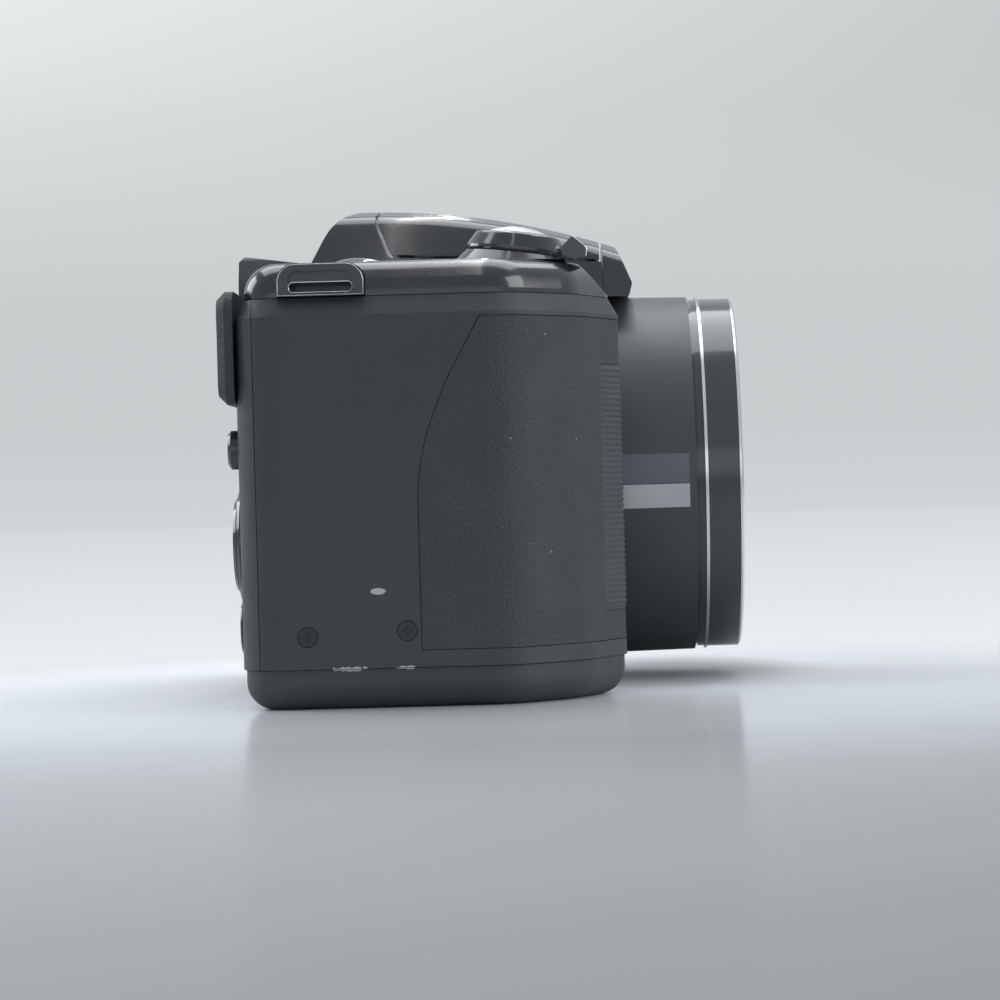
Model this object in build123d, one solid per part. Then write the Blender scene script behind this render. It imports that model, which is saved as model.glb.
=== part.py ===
from build123d import *
import math
import os

# Bridge camera with a pop-up flash, a four-cell grip and a motor zoom lens, in millimetres.
# +Z is up, the lens looks along -Y and the grip is on the -X side.
# The origin is the mouth of the tripod socket, in the plane of the base, under the lens axis.

# Body outline seen from above
lens_offset = 68.0
far_reach = 42.0
rear_reach = 13.9
front_reach = 16.0
grip_width = 34.3
nose_flat = 10.8
bevel_across = 10.5
bevel_forward = 10.2
nose_across = 19.4
nose_forward = 8.45
rear_corner_radius = 7.0
side_corner_radius = 10.0
bevel_corner_radius = 14.0
nose_tip_radius = 6.5
grip_root_radius = 4.0
front_corner_radius = 7.5

# Heights and walls of the covers
base_height = 5.9
barrel_lift = 3.7
shoulder_above_lens = 23.8
shoulder_rise = 2.7
top_rise = 5.35
wall = 1.8
seam = 0.1
overrun = 1.0
oval_share = 0.98
shoulder_inset = 1.5
base_inset = 0.4
base_edge_radius = 4.0
top_edge_radius = 4.6
rear_seam_depth = 2.9
slope_start_ahead = 20.5
slope_run = 4.75
slope_drop = 5.1

# Lens barrels, on the lens axis
barrel_radius = 29.6
barrel_front_radius = 28.9
barrel_length = 38.4
barrel_bore = 28.2
groove_width = 0.4
strip_radius = 28.45
strip_length = 1.0
silver_line_radius = 28.8
silver_line_width = 0.5
front_ring_radius = 28.5
front_ring_length = 4.9
front_trim_length = 0.6
front_trim_width = 1.0
spigot_length = 4.0
spigot_wall = 0.7
slide_fit = 0.1
guide_tube_radius = 28.1
guide_tube_wall = 1.8
cam_ring_wall = 1.1
cam_ring_reach = 7.5
front_barrel_wall = 1.2
tube_play = 0.1
inner_barrel_wall = 1.2
outer_zoom_length = 38.0
inner_zoom_length = 36.0
name_ring_thickness = 1.2
front_glass_radius = 17.4
front_glass_edge = 3.0
front_glass_crown = 2.2
rear_group_radius = 12.0
rear_group_length = 7.0

# Lens base, gear and sensor inside the body
lens_base_flange = 29.0
lens_base_thickness = 1.5
lens_base_boss = 6.7
post_radius = 2.0
post_circle = 29.5
gear_band = 3.0
gear_band_height = 0.5
pinion_radius = 4.0
mesh_gap = 0.15
motor_radius = 4.6
motor_length = 10.0
motor_shaft_radius = 0.8
sensor_width = 8.0
sensor_height = 7.0
sensor_thickness = 1.0
sensor_plate_width = 20.0
sensor_plate_height = 18.0
plate_thickness = 1.0
light_hole_radius = 5.5

# Chassis and boards
chassis_thickness = 1.0
board_thickness = 1.2
board_depth = 20.0
board_margin = 2.6
large_chip_half = 5.4
small_chip_half = 4.5
switch_dome_radius = 1.5
switch_dome_height = 0.4

# Grip rubber and finger strip
rubber_thickness = 1.0
rubber_above_seam = 2.4
rubber_below_shoulder = 0.6
rubber_back = 3.5
rubber_sweep = 9.6
rubber_sweep_start = 36.0
rubber_bend_shares = (0.46, 0.546)
strip_low = 12.7
strip_high = 49.7
strip_across = 14.0
strip_recess = 0.5

# Batteries and their box
cell_radius = 7.25
cell_length = 50.5
cell_button_radius = 2.75
cell_button_height = 1.0
cell_pitch = 14.8
cell_play = 0.1
cell_row_x = 58.25
cell_row_y = 15.2
cell_floor = 4.4
box_margin = 0.7
box_roof = 1.2
contact_thickness = 0.4
contact_width = 8.0

# Battery door in the underside of the grip, its hinge and latch
hinge_in = 0.5
hinge_height = 1.6
knuckle_radius = 1.6
knuckle_gap = 0.2
knuckle_count = 5
hinge_pin_radius = 0.7
hinge_play = 0.05
hinge_clear = 2.0
door_floor = 1.8
door_wall = 1.6
latch_width = 6.2
latch_length = 6.0
latch_height = 1.2
latch_travel = 2.5
latch_play = 0.2
latch_lip = 0.6

# Tripod socket
socket_thread_radius = 3.175
socket_radius = 4.6
socket_depth = 7.0
socket_flange = 6.0
socket_flange_thickness = 0.8

# Screws
screw_head_radius = 1.4
screw_head_height = 0.7
screw_shank_radius = 0.7
screw_length = 3.6
guide_screw_angle = 28.0
side_screw_ahead = 10.5
side_screw_behind = 3.9
side_screw_height = 11.2

# Flash housing over the lens
hump_rear = 7.6
hump_front = 45.6
hump_foot_rise = 1.9
hump_stands = 11.5
hump_rise = 5.3
hump_fall = 12.75
hump_sections = 5
hump_back_run = 6.6
hump_back_climb = 0.45
hump_back_radius = 10.0
hump_base_half = 22.6
hump_top_half = 14.6
hump_shoulder_drop = 1.6
hump_shoulder_radius = 4.0
hump_crown_radius = 14.0
hump_taper = 2.4
hump_crown_share = 0.45
head_axis_back = 8.8
head_axis_drop = 1.75
head_bead_radius = 2.6
head_sweep_radius = 3.95
head_lip_back = 5.6
head_lip_rise = 2.0
head_rear_back = 5.05
head_rear_rise = 0.9
head_rear_drop = 0.4
head_foot_back = 7.0
head_foot_round = 1.2
head_gap = 0.9
head_front = 40.45
head_low_rear_rise = 4.25
head_low_front_rise = 2.75
head_wall = 1.5
cap_gap = 0.5
flash_box_half = 13.0
flash_box_front = 38.3
flash_box_rear = 22.0
flash_box_drop = 3.5
flash_box_rise = 1.1
flash_well_play = 0.5
flash_window_thickness = 1.0
flash_wall = 0.9
tube_radius = 1.2
ear_offset = 5.4
ear_thickness = 2.4
ear_play = 0.4
ear_pin_radius = 0.6
ear_pin_play = 0.07
ear_radius = 1.3
ear_stem = 1.0
notch_radius = 1.8

# Raised rear crown behind the flash housing, and the screen housing
crown_half = 20.0
crown_front = 7.5
crown_rear_rise = 4.5
crown_front_rise = 3.2
crown_edge = 0.9
crown_lean = 2.2
crown_round = 1.6
screen_reach = 3.2
screen_left = 27.0
screen_far_margin = 2.5
screen_low = 7.5
screen_corner = 3.0
panel_margin = 3.25
panel_height = 46.0
panel_thickness = 2.8
window_rim = 2.2
window_thickness = 1.3
window_sunk = 0.2
screen_centre_z = 33.8

# Thumb rest and buttons on the back
thumb_left = 64.5
thumb_right = 38.0
thumb_above_seam = 1.5
thumb_length = 16.6
thumb_reach = 2.5
thumb_edge = 1.2
thumb_corner = 3.0
button_column = 50.0
button_spread = 7.2
button_half = 4.1
upper_button_below = 3.7
upper_button_half = 2.9
upper_button_proud = 1.6
lower_button_below = 12.15
lower_button_half = 3.85
lower_button_proud = 0.4
button_play = 0.15
button_flange = 0.6
button_flange_thickness = 0.7
button_travel = 0.4
button_edge = 0.4
selector_below = 14.1
selector_radius = 7.2
selector_bezel = 8.8
selector_proud = 1.6
selector_bezel_proud = 0.9
selector_play = 0.2
ok_radius = 3.0
ok_stem_radius = 1.3
carrier_radius = 3.4
carrier_thickness = 0.5
movie_x = 32.6
movie_below_seam = 6.8
movie_radius = 2.6
movie_proud = 0.7
switch_board_gap = 1.7

# Zoom lever, shutter button and power button on the grip
control_x = 49.0
control_ahead = 27.6
control_rise = 1.65
control_tilt = 7.5
control_base_radius = 9.0
control_top_radius = 7.4
hub_radius = 5.3
hub_wall = 0.6
lever_radius = 7.6
lever_thickness = 2.6
lever_rim = 0.4
lever_top_radius = 6.3
lever_edge = 0.8
lever_gap = 0.25
nose_reach = 10.4
nose_half = 3.4
nose_back = 6.0
nose_crest = 8.0
nose_height = 3.1
nose_tip_height = 1.5
nose_edge = 0.5
shutter_dome = 1.0
shutter_travel = 0.8
shutter_stem_radius = 1.3
power_ahead = 3.6
power_radius = 5.4
power_dome = 1.5
power_play = 0.15
flash_button_x = 27.5
flash_button_ahead = 6.0
flash_button_half = 3.6
flash_button_radius = 1.9
flash_button_proud = 0.5
top_board_drop = 1.9

# Strap lugs in the sides of the top cover
lug_rear = 7.1
lug_front = 5.6
lug_low_rise = 0.15
lug_tall = 4.75
lug_depth = 6.4
lug_corner = 2.6
lug_slot_length = 9.3
lug_slot_height = 1.5
lug_slot_rise = 0.55
lug_dish_height = 3.3
lug_dish_depth = 0.5
lug_dish_corner = 1.2
lug_bar = 1.9
lug_play = 0.1

# Terminal cover on the far side
terminal_width = 13.0
terminal_low = 18.0
terminal_high = 44.0
terminal_thickness = 1.2
terminal_centre = -0.5
terminal_rim = 1.4
terminal_play = 0.3
terminal_pin_radius = 0.5
terminal_knuckle_radius = 1.0
usb_width = 8.0
usb_height = 3.2
power_jack_radius = 3.0
jack_depth = 7.0

# Small pieces
lamp_x = 26.8
lamp_below_seam = 6.0
lamp_radius = 2.2
lamp_flange = 0.5
capacitor_radius = 5.2
capacitor_x = 46.6
capacitor_ahead = 30.6
capacitor_low = 9.0
capacitor_length = 38.0
speaker_radius = 5.0
speaker_thickness = 2.2
speaker_x = 29.5
speaker_ahead = 6.4
sound_hole_radius = 0.45
sound_hole_ring = 2.2
sound_hole_count = 6
card_width = 24.0
card_height = 32.0
card_thickness = 2.1
card_x = 12.0
card_low = 9.5
card_slot_wall = 0.5

# Places worked out from the sizes above
lens_height = barrel_radius + barrel_lift
shoulder_height = lens_height + shoulder_above_lens
cover_top = shoulder_height + shoulder_rise
top_height = cover_top + top_rise
hump_foot = cover_top + hump_foot_rise
hump_rear_height = top_height + hump_stands
head_axis_height = hump_rear_height - head_axis_drop
head_low_rear = top_height + head_low_rear_rise
head_low_front = top_height + head_low_front_rise
flash_box_low = head_low_front - flash_box_drop
flash_box_high = head_low_front + flash_box_rise
crown_rear_height = top_height + crown_rear_rise
crown_front_height = top_height + crown_front_rise
thumb_high = cover_top + thumb_above_seam
thumb_low = thumb_high - thumb_length
upper_button_height = thumb_low - upper_button_half - upper_button_below
selector_height = upper_button_height - selector_below
lower_button_height = selector_height - lower_button_below
movie_height = cover_top - movie_below_seam
lamp_height = cover_top - lamp_below_seam
control_height = top_height + control_rise
top_board_height = cover_top - top_board_drop
lug_low = cover_top + lug_low_rise
lug_high = lug_low + lug_tall
lug_slot_low = lug_low + lug_slot_rise
rubber_low = base_height + rubber_above_seam
rubber_high = shoulder_height - rubber_below_shoulder
grip_x = -lens_offset
far_x = far_reach
screen_right = far_x - screen_far_margin
panel_width = screen_left + screen_right - panel_margin * 2
screen_centre_x = (screen_right - screen_left) / 2
rear_y = rear_reach
front_y = -front_reach
rear_seam_y = rear_y - rear_seam_depth
root_x = grip_x + grip_width
nose_points = [
    (grip_x, front_y - nose_flat),
    (grip_x + bevel_across, front_y - nose_flat - bevel_forward),
    (grip_x + bevel_across + nose_across, front_y - nose_flat - bevel_forward - nose_forward),
]
nose_tip_y = nose_points[2][1] + (nose_tip_radius - slide_fit) / 2
barrel_front_y = front_y - seam - barrel_length
strip_front_y = barrel_front_y - groove_width - strip_length
silver_front_y = strip_front_y - silver_line_width
ring_front_y = silver_front_y - front_ring_length
lens_front_y = ring_front_y - front_trim_length
guide_bore = guide_tube_radius - guide_tube_wall
cam_radius = guide_bore - slide_fit
outer_zoom_radius = cam_radius - cam_ring_wall - slide_fit
inner_zoom_radius = outer_zoom_radius - front_barrel_wall - slide_fit
name_ring_radius = inner_zoom_radius - inner_barrel_wall
chassis_y = front_y + wall + seam
cam_back_y = front_y + cam_ring_reach
flange_front_y = cam_back_y + tube_play * 2
board_y = front_y + board_depth
hinge_x = root_x - hinge_in
door_edge_x = hinge_x - hinge_clear
cover_edge_x = hinge_x + hinge_clear
screen_y = rear_y + screen_reach
rear_inner_y = rear_y - wall
flange_y = rear_inner_y - seam
switch_board_y = rear_inner_y - switch_board_gap
control_y = -control_ahead
head_axis_y = -head_axis_back
ear_places = [-ear_offset, ear_offset]
cell_places = [
    (-cell_row_x + column * cell_pitch, -cell_row_y + row * cell_pitch)
    for column in range(2)
    for row in range(2)
]


def slab(x_low, x_high, y_low, y_high, z_low, z_high):
    size = Box(x_high - x_low, y_high - y_low, z_high - z_low)
    return Pos((x_low + x_high) / 2, (y_low + y_high) / 2, (z_low + z_high) / 2) * size


def closed(points, radii=None):
    if radii is None:
        return make_face(Polyline(*points, close=True))
    return make_face(FilletPolyline(*points, radius=radii, close=True))


def prism_x(face, x_low, x_high):
    return extrude(Plane.YZ.offset(x_low) * face, x_high - x_low)


def prism_y(face, y_low, y_high):
    return extrude(Plane.XZ.offset(-y_high) * face, y_high - y_low)


def prism_z(face, z_low, z_high):
    return extrude(Plane.XY.offset(z_low) * face, z_high - z_low)


def rod_x(x_low, x_high, y, z, radius):
    return prism_x(Pos(y, z) * Circle(radius), x_low, x_high)


def rod_y(x, z, y_low, y_high, radius):
    return prism_y(Pos(x, z) * Circle(radius), y_low, y_high)


def rod_z(x, y, z_low, z_high, radius):
    return prism_z(Pos(x, y) * Circle(radius), z_low, z_high)


def turned(*points):
    # A ring or disc turned about the lens axis, from points given as (radius, y)
    face = Pos(0, 0, lens_height) * make_face(Polyline(*points, close=True))
    return revolve(face, Axis((0, 0, lens_height), (0, 1, 0)), 360)


def tube(outer, inner, y_low, y_high):
    return turned((inner, y_low), (outer, y_low), (outer, y_high), (inner, y_high))


def rounded(x_low, x_high, z_low, z_high, radius):
    # A rounded rectangle drawn by its sides
    shape = RectangleRounded(x_high - x_low, z_high - z_low, radius)
    return Pos((x_low + x_high) / 2, (z_low + z_high) / 2) * shape


def plan(inset=0):
    # The body seen from above: a straight back, the grip's bevelled nose and the lens wall
    corners = [
        (grip_x, rear_y),
        *nose_points,
        (root_x, front_y),
        (far_x, front_y),
        (far_x, rear_y),
    ]
    radii = [
        rear_corner_radius,
        side_corner_radius,
        bevel_corner_radius,
        nose_tip_radius,
        grip_root_radius,
        front_corner_radius,
        rear_corner_radius,
    ]
    face = closed(corners, radii)
    if inset == 0:
        return face
    return offset(face, amount=-inset)


def middle_blank():
    # Straight walls, and a shoulder that leans in to the top cover's seam
    straight = prism_z(plan(), base_height, shoulder_height)
    lean = math.degrees(math.atan(shoulder_inset / (cover_top - shoulder_height)))
    shoulder = extrude(Plane.XY.offset(shoulder_height) * plan(), cover_top - shoulder_height, taper=lean)
    return straight + shoulder


def middle_hollow():
    return prism_z(plan(wall + shoulder_inset), base_height - overrun, cover_top + overrun) + prism_z(
        plan(wall), base_height - overrun, shoulder_height - wall / 4
    )


def lens_clearance(radius):
    return rod_y(0, lens_height, lens_front_y, rear_y, radius)


def rubber_region(margin=0):
    # The grip's covered area: its back edge is upright, then sweeps forward to the top
    back = front_y + rubber_back + margin
    along, up = rubber_bend_shares
    sweep = [
        (back, rubber_low - margin),
        (back, rubber_sweep_start),
        (back - rubber_sweep * along, rubber_sweep_start + (rubber_high - rubber_sweep_start) * up),
        (back - rubber_sweep, rubber_high + margin),
        (nose_tip_y - wall * 2, rubber_high + margin),
        (nose_tip_y - wall * 2, rubber_low - margin),
    ]
    outline = closed(sweep, [0, grip_width, grip_width, 0, 0, 0])
    side = prism_x(outline, grip_x - overrun, root_x - wall)
    return side - slab(
        grip_x + bevel_across, root_x, front_y - grip_root_radius, rear_y, 0, cover_top
    )


def skin(outer_inset, inner_inset):
    outer = prism_z(plan(outer_inset), base_height, shoulder_height)
    return outer - prism_z(plan(inner_inset), base_height - overrun, shoulder_height + overrun)


def strip_region(margin=0):
    middle = nose_points[2][0] - nose_tip_radius + margin
    low = strip_low - margin
    high = strip_high + margin
    left = middle - strip_across / 2
    face = rounded(left - margin, left + strip_across + margin, low, high, strip_recess * 2)
    return prism_y(face, nose_tip_y - wall * 2, front_y - nose_flat)


def grip_rubber():
    body = skin(seam / 2, rubber_thickness - seam / 2) & rubber_region(-seam)
    return body - (skin(-overrun, strip_recess) & strip_region())


def finger_strip():
    return skin(0, strip_recess - seam / 2) & strip_region(-seam)


def latch_pocket_y():
    return -cell_row_y + cell_pitch / 2


def side_screw_places():
    return [(-side_screw_ahead, side_screw_height), (side_screw_behind, side_screw_height - seam * 6)]


def screw(head_radius=screw_head_radius, length=screw_length):
    # A pan head with a cross recess, shank downwards
    head = Cylinder(head_radius, screw_head_height)
    slot = Box(head_radius, screw_shank_radius / 2, screw_head_height)
    cross = Pos(0, 0, screw_head_height / 2) * (slot + Rot(0, 0, 90) * slot)
    shank = Pos(0, 0, -(screw_head_height + length) / 2) * Cylinder(screw_shank_radius, length)
    return head - cross + shank


def front_cover():
    body = middle_blank() - middle_hollow()
    body -= slab(grip_x - overrun, far_x + overrun, rear_seam_y, rear_y + overrun, 0, top_height)
    body -= skin(-overrun, rubber_thickness) & rubber_region()
    body -= lens_clearance(cam_radius + slide_fit)
    body -= rod_y(-lamp_x, lamp_height, front_y - overrun, front_y + wall * 2, lamp_radius + seam)
    body -= terminal_hollow()
    for y, z in side_screw_places():
        body -= rod_x(grip_x - overrun, grip_x + screw_head_height, y, z, screw_head_radius + seam)
        body -= rod_x(grip_x, grip_x + wall + overrun, y, z, screw_shank_radius)
    for x, z in guide_screw_places():
        body -= rod_y(x, z, front_y - overrun, front_y + wall * 2, screw_shank_radius)
    return body


def rear_crown():
    # The screen housing's upper part, which rises behind the flash housing
    low = shoulder_height - wall
    outline = [
        (screen_y, low),
        (screen_y, crown_rear_height - crown_edge),
        (screen_y - crown_edge, crown_rear_height),
        (crown_front, crown_front_height),
        (crown_front, top_height + seam),
        (rear_seam_y, top_height + seam),
        (rear_seam_y, low),
    ]
    body = prism_x(closed(outline), -crown_half, crown_half)
    hollow = [
        (screen_y - wall, low + wall),
        (screen_y - wall, crown_rear_height - crown_edge - wall),
        (crown_front + wall, crown_front_height - wall),
        (crown_front + wall, top_height - overrun),
        (rear_seam_y - overrun, top_height - overrun),
        (rear_seam_y - overrun, low + wall),
    ]
    body -= prism_x(closed(hollow), wall - crown_half, crown_half - wall)
    front_view = [
        (-crown_half, 0),
        (-crown_half, top_height),
        (crown_lean - crown_half, crown_rear_height),
        (crown_half - crown_lean, crown_rear_height),
        (crown_half, top_height),
        (crown_half, 0),
    ]
    radii = [0, crown_round * 3, crown_round, crown_round, crown_round * 3, 0]
    return body & prism_y(closed(front_view, radii), 0, screen_y)


def screen_housing():
    face = rounded(-screen_left, screen_right, screen_low, cover_top, screen_corner)
    block = prism_y(face, rear_inner_y, screen_y)
    edges = block.faces().sort_by(Axis.Y)[-1].edges()
    return chamfer(edges, crown_edge)


def screen_rect(grow, radius):
    half_width = panel_width / 2 + grow
    half_height = panel_height / 2 + grow
    return rounded(
        screen_centre_x - half_width,
        screen_centre_x + half_width,
        screen_centre_z - half_height,
        screen_centre_z + half_height,
        radius,
    )


def rear_button_table():
    # Name: x, z, half width, half height, how far it stands proud
    pairs = {}
    for name, side in (("mode_button", -1), ("playback_button", 1)):
        x = -button_column + side * button_spread
        pairs[name] = (x, upper_button_height, button_half, upper_button_half, upper_button_proud)
    for name, side in (("menu_button", -1), ("delete_button", 1)):
        x = -button_column + side * button_spread
        pairs[name] = (x, lower_button_height, button_half, lower_button_half, lower_button_proud)
    pairs["movie_button"] = (-movie_x, movie_height, movie_radius, movie_radius, movie_proud)
    return pairs


def oval(half_width, half_height, grow=0):
    if half_width == half_height:
        return Circle(half_width + grow)
    radius = min(half_width, half_height) + grow
    return RectangleRounded(2 * (half_width + grow), 2 * (half_height + grow), radius * oval_share)


def rear_cover():
    body = middle_blank() - middle_hollow()
    keep = slab(grip_x, far_x, rear_seam_y + seam, rear_y + overrun, 0, top_height)
    body = (body & keep) + screen_housing() + rear_crown()
    body -= prism_y(screen_rect(seam, overrun), rear_inner_y - overrun, rear_inner_y + panel_thickness)
    body -= prism_y(screen_rect(-overrun, overrun), rear_inner_y, screen_y + overrun)
    ledge = screen_y - window_thickness - window_sunk
    body -= prism_y(screen_rect(window_rim + seam, window_rim), ledge, screen_y + overrun)
    for x, z, half_width, half_height, proud in rear_button_table().values():
        hole = Pos(x, z) * oval(half_width, half_height, button_play)
        body -= prism_y(hole, rear_inner_y - overrun, screen_y)
    body -= rod_y(-button_column, selector_height, rear_inner_y - overrun, screen_y,
                  selector_bezel + seam)
    body += tube_at(-button_column, selector_height, selector_bezel + overrun,
                    selector_radius + selector_play,
                    rear_inner_y, rear_inner_y + wall / 2)
    return body


def tube_at(x, z, outer, inner, y_low, y_high):
    return rod_y(x, z, y_low, y_high, outer) - rod_y(x, z, y_low - overrun, y_high + overrun, inner)


def rear_button(name):
    x, z, half_width, half_height, proud = rear_button_table()[name]
    back = flange_y - button_flange_thickness
    cap = prism_y(Pos(x, z) * oval(half_width, half_height), back, rear_y + proud)
    cap = chamfer(cap.faces().sort_by(Axis.Y)[-1].edges(), min(button_edge, proud / 2))
    flange = prism_y(Pos(x, z) * oval(half_width, half_height, button_flange), back, flange_y)
    return cap + flange


def selector_bezel_ring():
    body = tube_at(-button_column, selector_height, selector_bezel, selector_radius + selector_play,
                   rear_inner_y + wall / 2 + seam, rear_y + selector_bezel_proud)
    return chamfer(body.faces().sort_by(Axis.Y)[-1].edges(), button_edge)


def multi_selector():
    disc = tube_at(-button_column, selector_height, selector_radius, ok_radius + button_play,
                   rear_inner_y - button_play, rear_y + selector_proud)
    return chamfer(disc.faces().sort_by(Axis.Y)[-1].edges(), button_edge)


def ok_button():
    body = rod_y(-button_column, selector_height, rear_inner_y + wall / 2, rear_y + selector_proud,
                 ok_radius)
    body = chamfer(body.faces().sort_by(Axis.Y)[-1].edges(), button_edge)
    end = switch_board_y + switch_dome_height + button_travel + seam
    return body + rod_y(-button_column, selector_height, end, rear_y, ok_stem_radius)


def selector_carrier():
    back = rear_inner_y - button_play - button_travel - carrier_thickness
    return tube_at(-button_column, selector_height, carrier_radius, ok_stem_radius + selector_play * 1.5,
                   back, back + carrier_thickness)


def rear_switch_board():
    low = lower_button_height - lower_button_half - overrun
    board = slab(grip_x + rear_corner_radius / 2, -screen_left - overrun,
                 switch_board_y - board_thickness,
                 switch_board_y, low, shoulder_height - wall * 2)
    for x, z, half_width, half_height, proud in rear_button_table().values():
        board += rod_y(x, z, switch_board_y, switch_board_y + switch_dome_height, switch_dome_radius)
    return board + rod_y(-button_column, selector_height, switch_board_y,
                         switch_board_y + switch_dome_height, switch_dome_radius)


def thumb_rest():
    face = rounded(-thumb_left, -thumb_right, thumb_low, thumb_high, thumb_corner)
    body = prism_y(face, rear_y + seam / 2, rear_y + thumb_reach)
    return chamfer(body.faces().sort_by(Axis.Y)[-1].edges(), thumb_edge)


def lcd_panel():
    return prism_y(screen_rect(0, overrun), rear_inner_y + seam, rear_inner_y + panel_thickness - seam)


def lcd_window():
    front = screen_y - window_thickness - window_sunk + seam / 2
    return prism_y(screen_rect(window_rim, window_rim), front, screen_y - window_sunk)


def base_blank():
    body = prism_z(plan(base_inset), 0, base_height - seam)
    return fillet(body.faces().sort_by(Axis.Z)[0].edges(), base_edge_radius)


def door_zone(margin=0):
    rear_part = slab(grip_x - overrun, door_edge_x - margin, front_y - overrun, rear_y + overrun,
                     -overrun,
                     base_height + overrun)
    nose_part = slab(grip_x - overrun, root_x + overrun, nose_tip_y - wall * 3,
                     front_y - seam * 3 - margin,
                     -overrun, base_height + overrun)
    return rear_part + nose_part


def knuckle_spans():
    # The hinge's knuckles along Y, the cover's and the door's in turn
    start = front_y + wall + overrun
    length = (rear_y - rear_corner_radius - start) / knuckle_count
    return [
        (start + index * length + knuckle_gap / 2, start + (index + 1) * length - knuckle_gap / 2)
        for index in range(knuckle_count)
    ]


def knuckle(span, towards):
    y_low, y_high = span
    barrel = rod_hinge(y_low, y_high, knuckle_radius)
    leaf_end = hinge_x + towards * (hinge_clear + wall)
    leaf = slab(min(hinge_x, leaf_end), max(hinge_x, leaf_end), y_low, y_high, hinge_height,
                hinge_height + knuckle_radius)
    return barrel + leaf


def rod_hinge(y_low, y_high, radius):
    return rod_y(hinge_x, hinge_height, y_low, y_high, radius)


def battery_door():
    blank = base_blank() & door_zone()
    inner = prism_z(plan(base_inset + door_wall), door_floor, base_height + overrun)
    zone = slab(grip_x, door_edge_x - door_wall, nose_tip_y - wall * 3, rear_y, door_floor,
                base_height + overrun)
    body = blank - (inner & zone)
    spans = knuckle_spans()
    for place in cell_places:
        body -= rod_z(*place, cell_floor - cell_play * 2, base_height + overrun,
                      cell_radius + cell_play * 2)
    cells_low = cell_places[0][1] - cell_radius - cell_play * 2
    cells_high = cell_places[1][1] + cell_radius + cell_play * 2
    body -= slab(door_edge_x - door_wall, door_edge_x + overrun, cells_low, cells_high,
                 cell_floor - cell_play * 2, base_height + overrun)
    for index in range(1, knuckle_count, 2):
        body += knuckle(spans[index], -1)
        body -= rod_hinge(spans[index][0] - overrun, spans[index][1] + overrun,
                          hinge_pin_radius + hinge_play)
    body -= latch_pocket()
    return body


def latch_pocket():
    y = latch_pocket_y()
    x = grip_x + base_edge_radius + latch_play
    recess = slab(x, x + latch_length + latch_travel + latch_play, y - latch_width / 2 - latch_play,
                  y + latch_width / 2 + latch_play, -overrun, latch_height)
    slot = slab(x + latch_lip, x + latch_length + latch_travel - latch_lip,
                y - latch_width / 4 - latch_play,
                y + latch_width / 4 + latch_play, 0, door_floor + overrun)
    return recess + slot


def door_latch():
    y = latch_pocket_y()
    x = grip_x + base_edge_radius + latch_play * 2
    body = slab(x, x + latch_length, y - latch_width / 2, y + latch_width / 2, latch_lip / 2,
                latch_height - latch_play / 2)
    for step in range(4):
        rib = x + latch_length * (step + 1.5) / 6
        body += slab(rib, rib + latch_lip / 2, y - latch_width / 3, y + latch_width / 3, 0, latch_lip)
    neck = slab(x + latch_lip * 2, x + latch_length - latch_lip * 2, y - latch_width / 4,
                y + latch_width / 4,
                latch_lip, door_floor + latch_play)
    plate = slab(x + latch_lip, x + latch_length - latch_lip, y - latch_width / 2, y + latch_width / 2,
                 door_floor + latch_play / 2, door_floor + latch_play / 2 + latch_lip)
    return body + neck + plate


def bottom_cover():
    zone = slab(cover_edge_x, far_x + overrun, front_y - overrun, rear_y + overrun, -overrun,
                base_height + overrun)
    spans = knuckle_spans()
    near = door_edge_x + knuckle_gap * 2
    zone += slab(near, far_x, front_y, spans[0][0] - knuckle_gap, -overrun, base_height + overrun)
    zone += slab(near, far_x, spans[-1][1] + knuckle_gap, rear_y + overrun, -overrun,
                 base_height + overrun)
    body = base_blank() & zone
    inner = prism_z(plan(base_inset + wall), door_floor, base_height + overrun)
    body -= inner & slab(cover_edge_x + wall, far_x, front_y, rear_y, door_floor, base_height + overrun)
    corner = slab(near - overrun, hinge_x, front_y - overrun, rear_y + overrun, -overrun, hinge_height)
    body -= corner - rod_hinge(front_y - overrun * 2, rear_y + overrun * 2, hinge_clear - knuckle_gap)
    for index in range(0, knuckle_count, 2):
        body += knuckle(spans[index], 1)
        body -= rod_hinge(spans[index][0] - overrun, spans[index][1] + overrun, hinge_pin_radius)
    body += rod_z(0, 0, 0, base_height - seam, socket_radius + wall)
    body -= rod_z(0, 0, -overrun, base_height + overrun, socket_radius)
    body -= rod_z(0, 0, base_height - seam - socket_flange_thickness, base_height + overrun,
                  socket_flange + seam)
    body -= rod_y(0, lens_height, lens_front_y, front_y + wall, barrel_radius + seam)
    for x, y in base_screw_places():
        body += rod_z(x, y, door_floor - seam, base_height - seam, screw_head_radius + wall / 2)
        body -= rod_z(x, y, -overrun, screw_head_height, screw_head_radius + seam)
        body -= rod_z(x, y, 0, base_height + overrun, screw_shank_radius)
    return body


def base_screw_places():
    near = cover_edge_x + wall * 5
    away = far_x - front_corner_radius
    return [(near, front_y / 2), (near, rear_y / 2), (away, front_y / 2), (away, rear_y / 2)]


def case_screws():
    # Four under the base, two in the grip's side and four behind the lens
    shapes = []
    for x, y in base_screw_places():
        piece = screw(length=base_height - screw_head_height - seam * 2)
        shapes.append(Pos(x, y, screw_head_height / 2) * (Rot(180, 0, 0) * piece))
    for y, z in side_screw_places():
        piece = screw(length=wall - screw_head_height)
        shapes.append(Pos(grip_x + screw_head_height / 2, y, z) * (Rot(0, -90, 0) * piece))
    for x, z in guide_screw_places():
        length = chassis_y + chassis_thickness - front_y + wall
        piece = screw(head_radius=screw_shank_radius * 1.4, length=length)
        y = chassis_y + chassis_thickness + screw_head_height / 2
        shapes.append(Pos(x, y, z) * (Rot(-90, 0, 0) * piece))
    return Compound(children=shapes)


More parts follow.
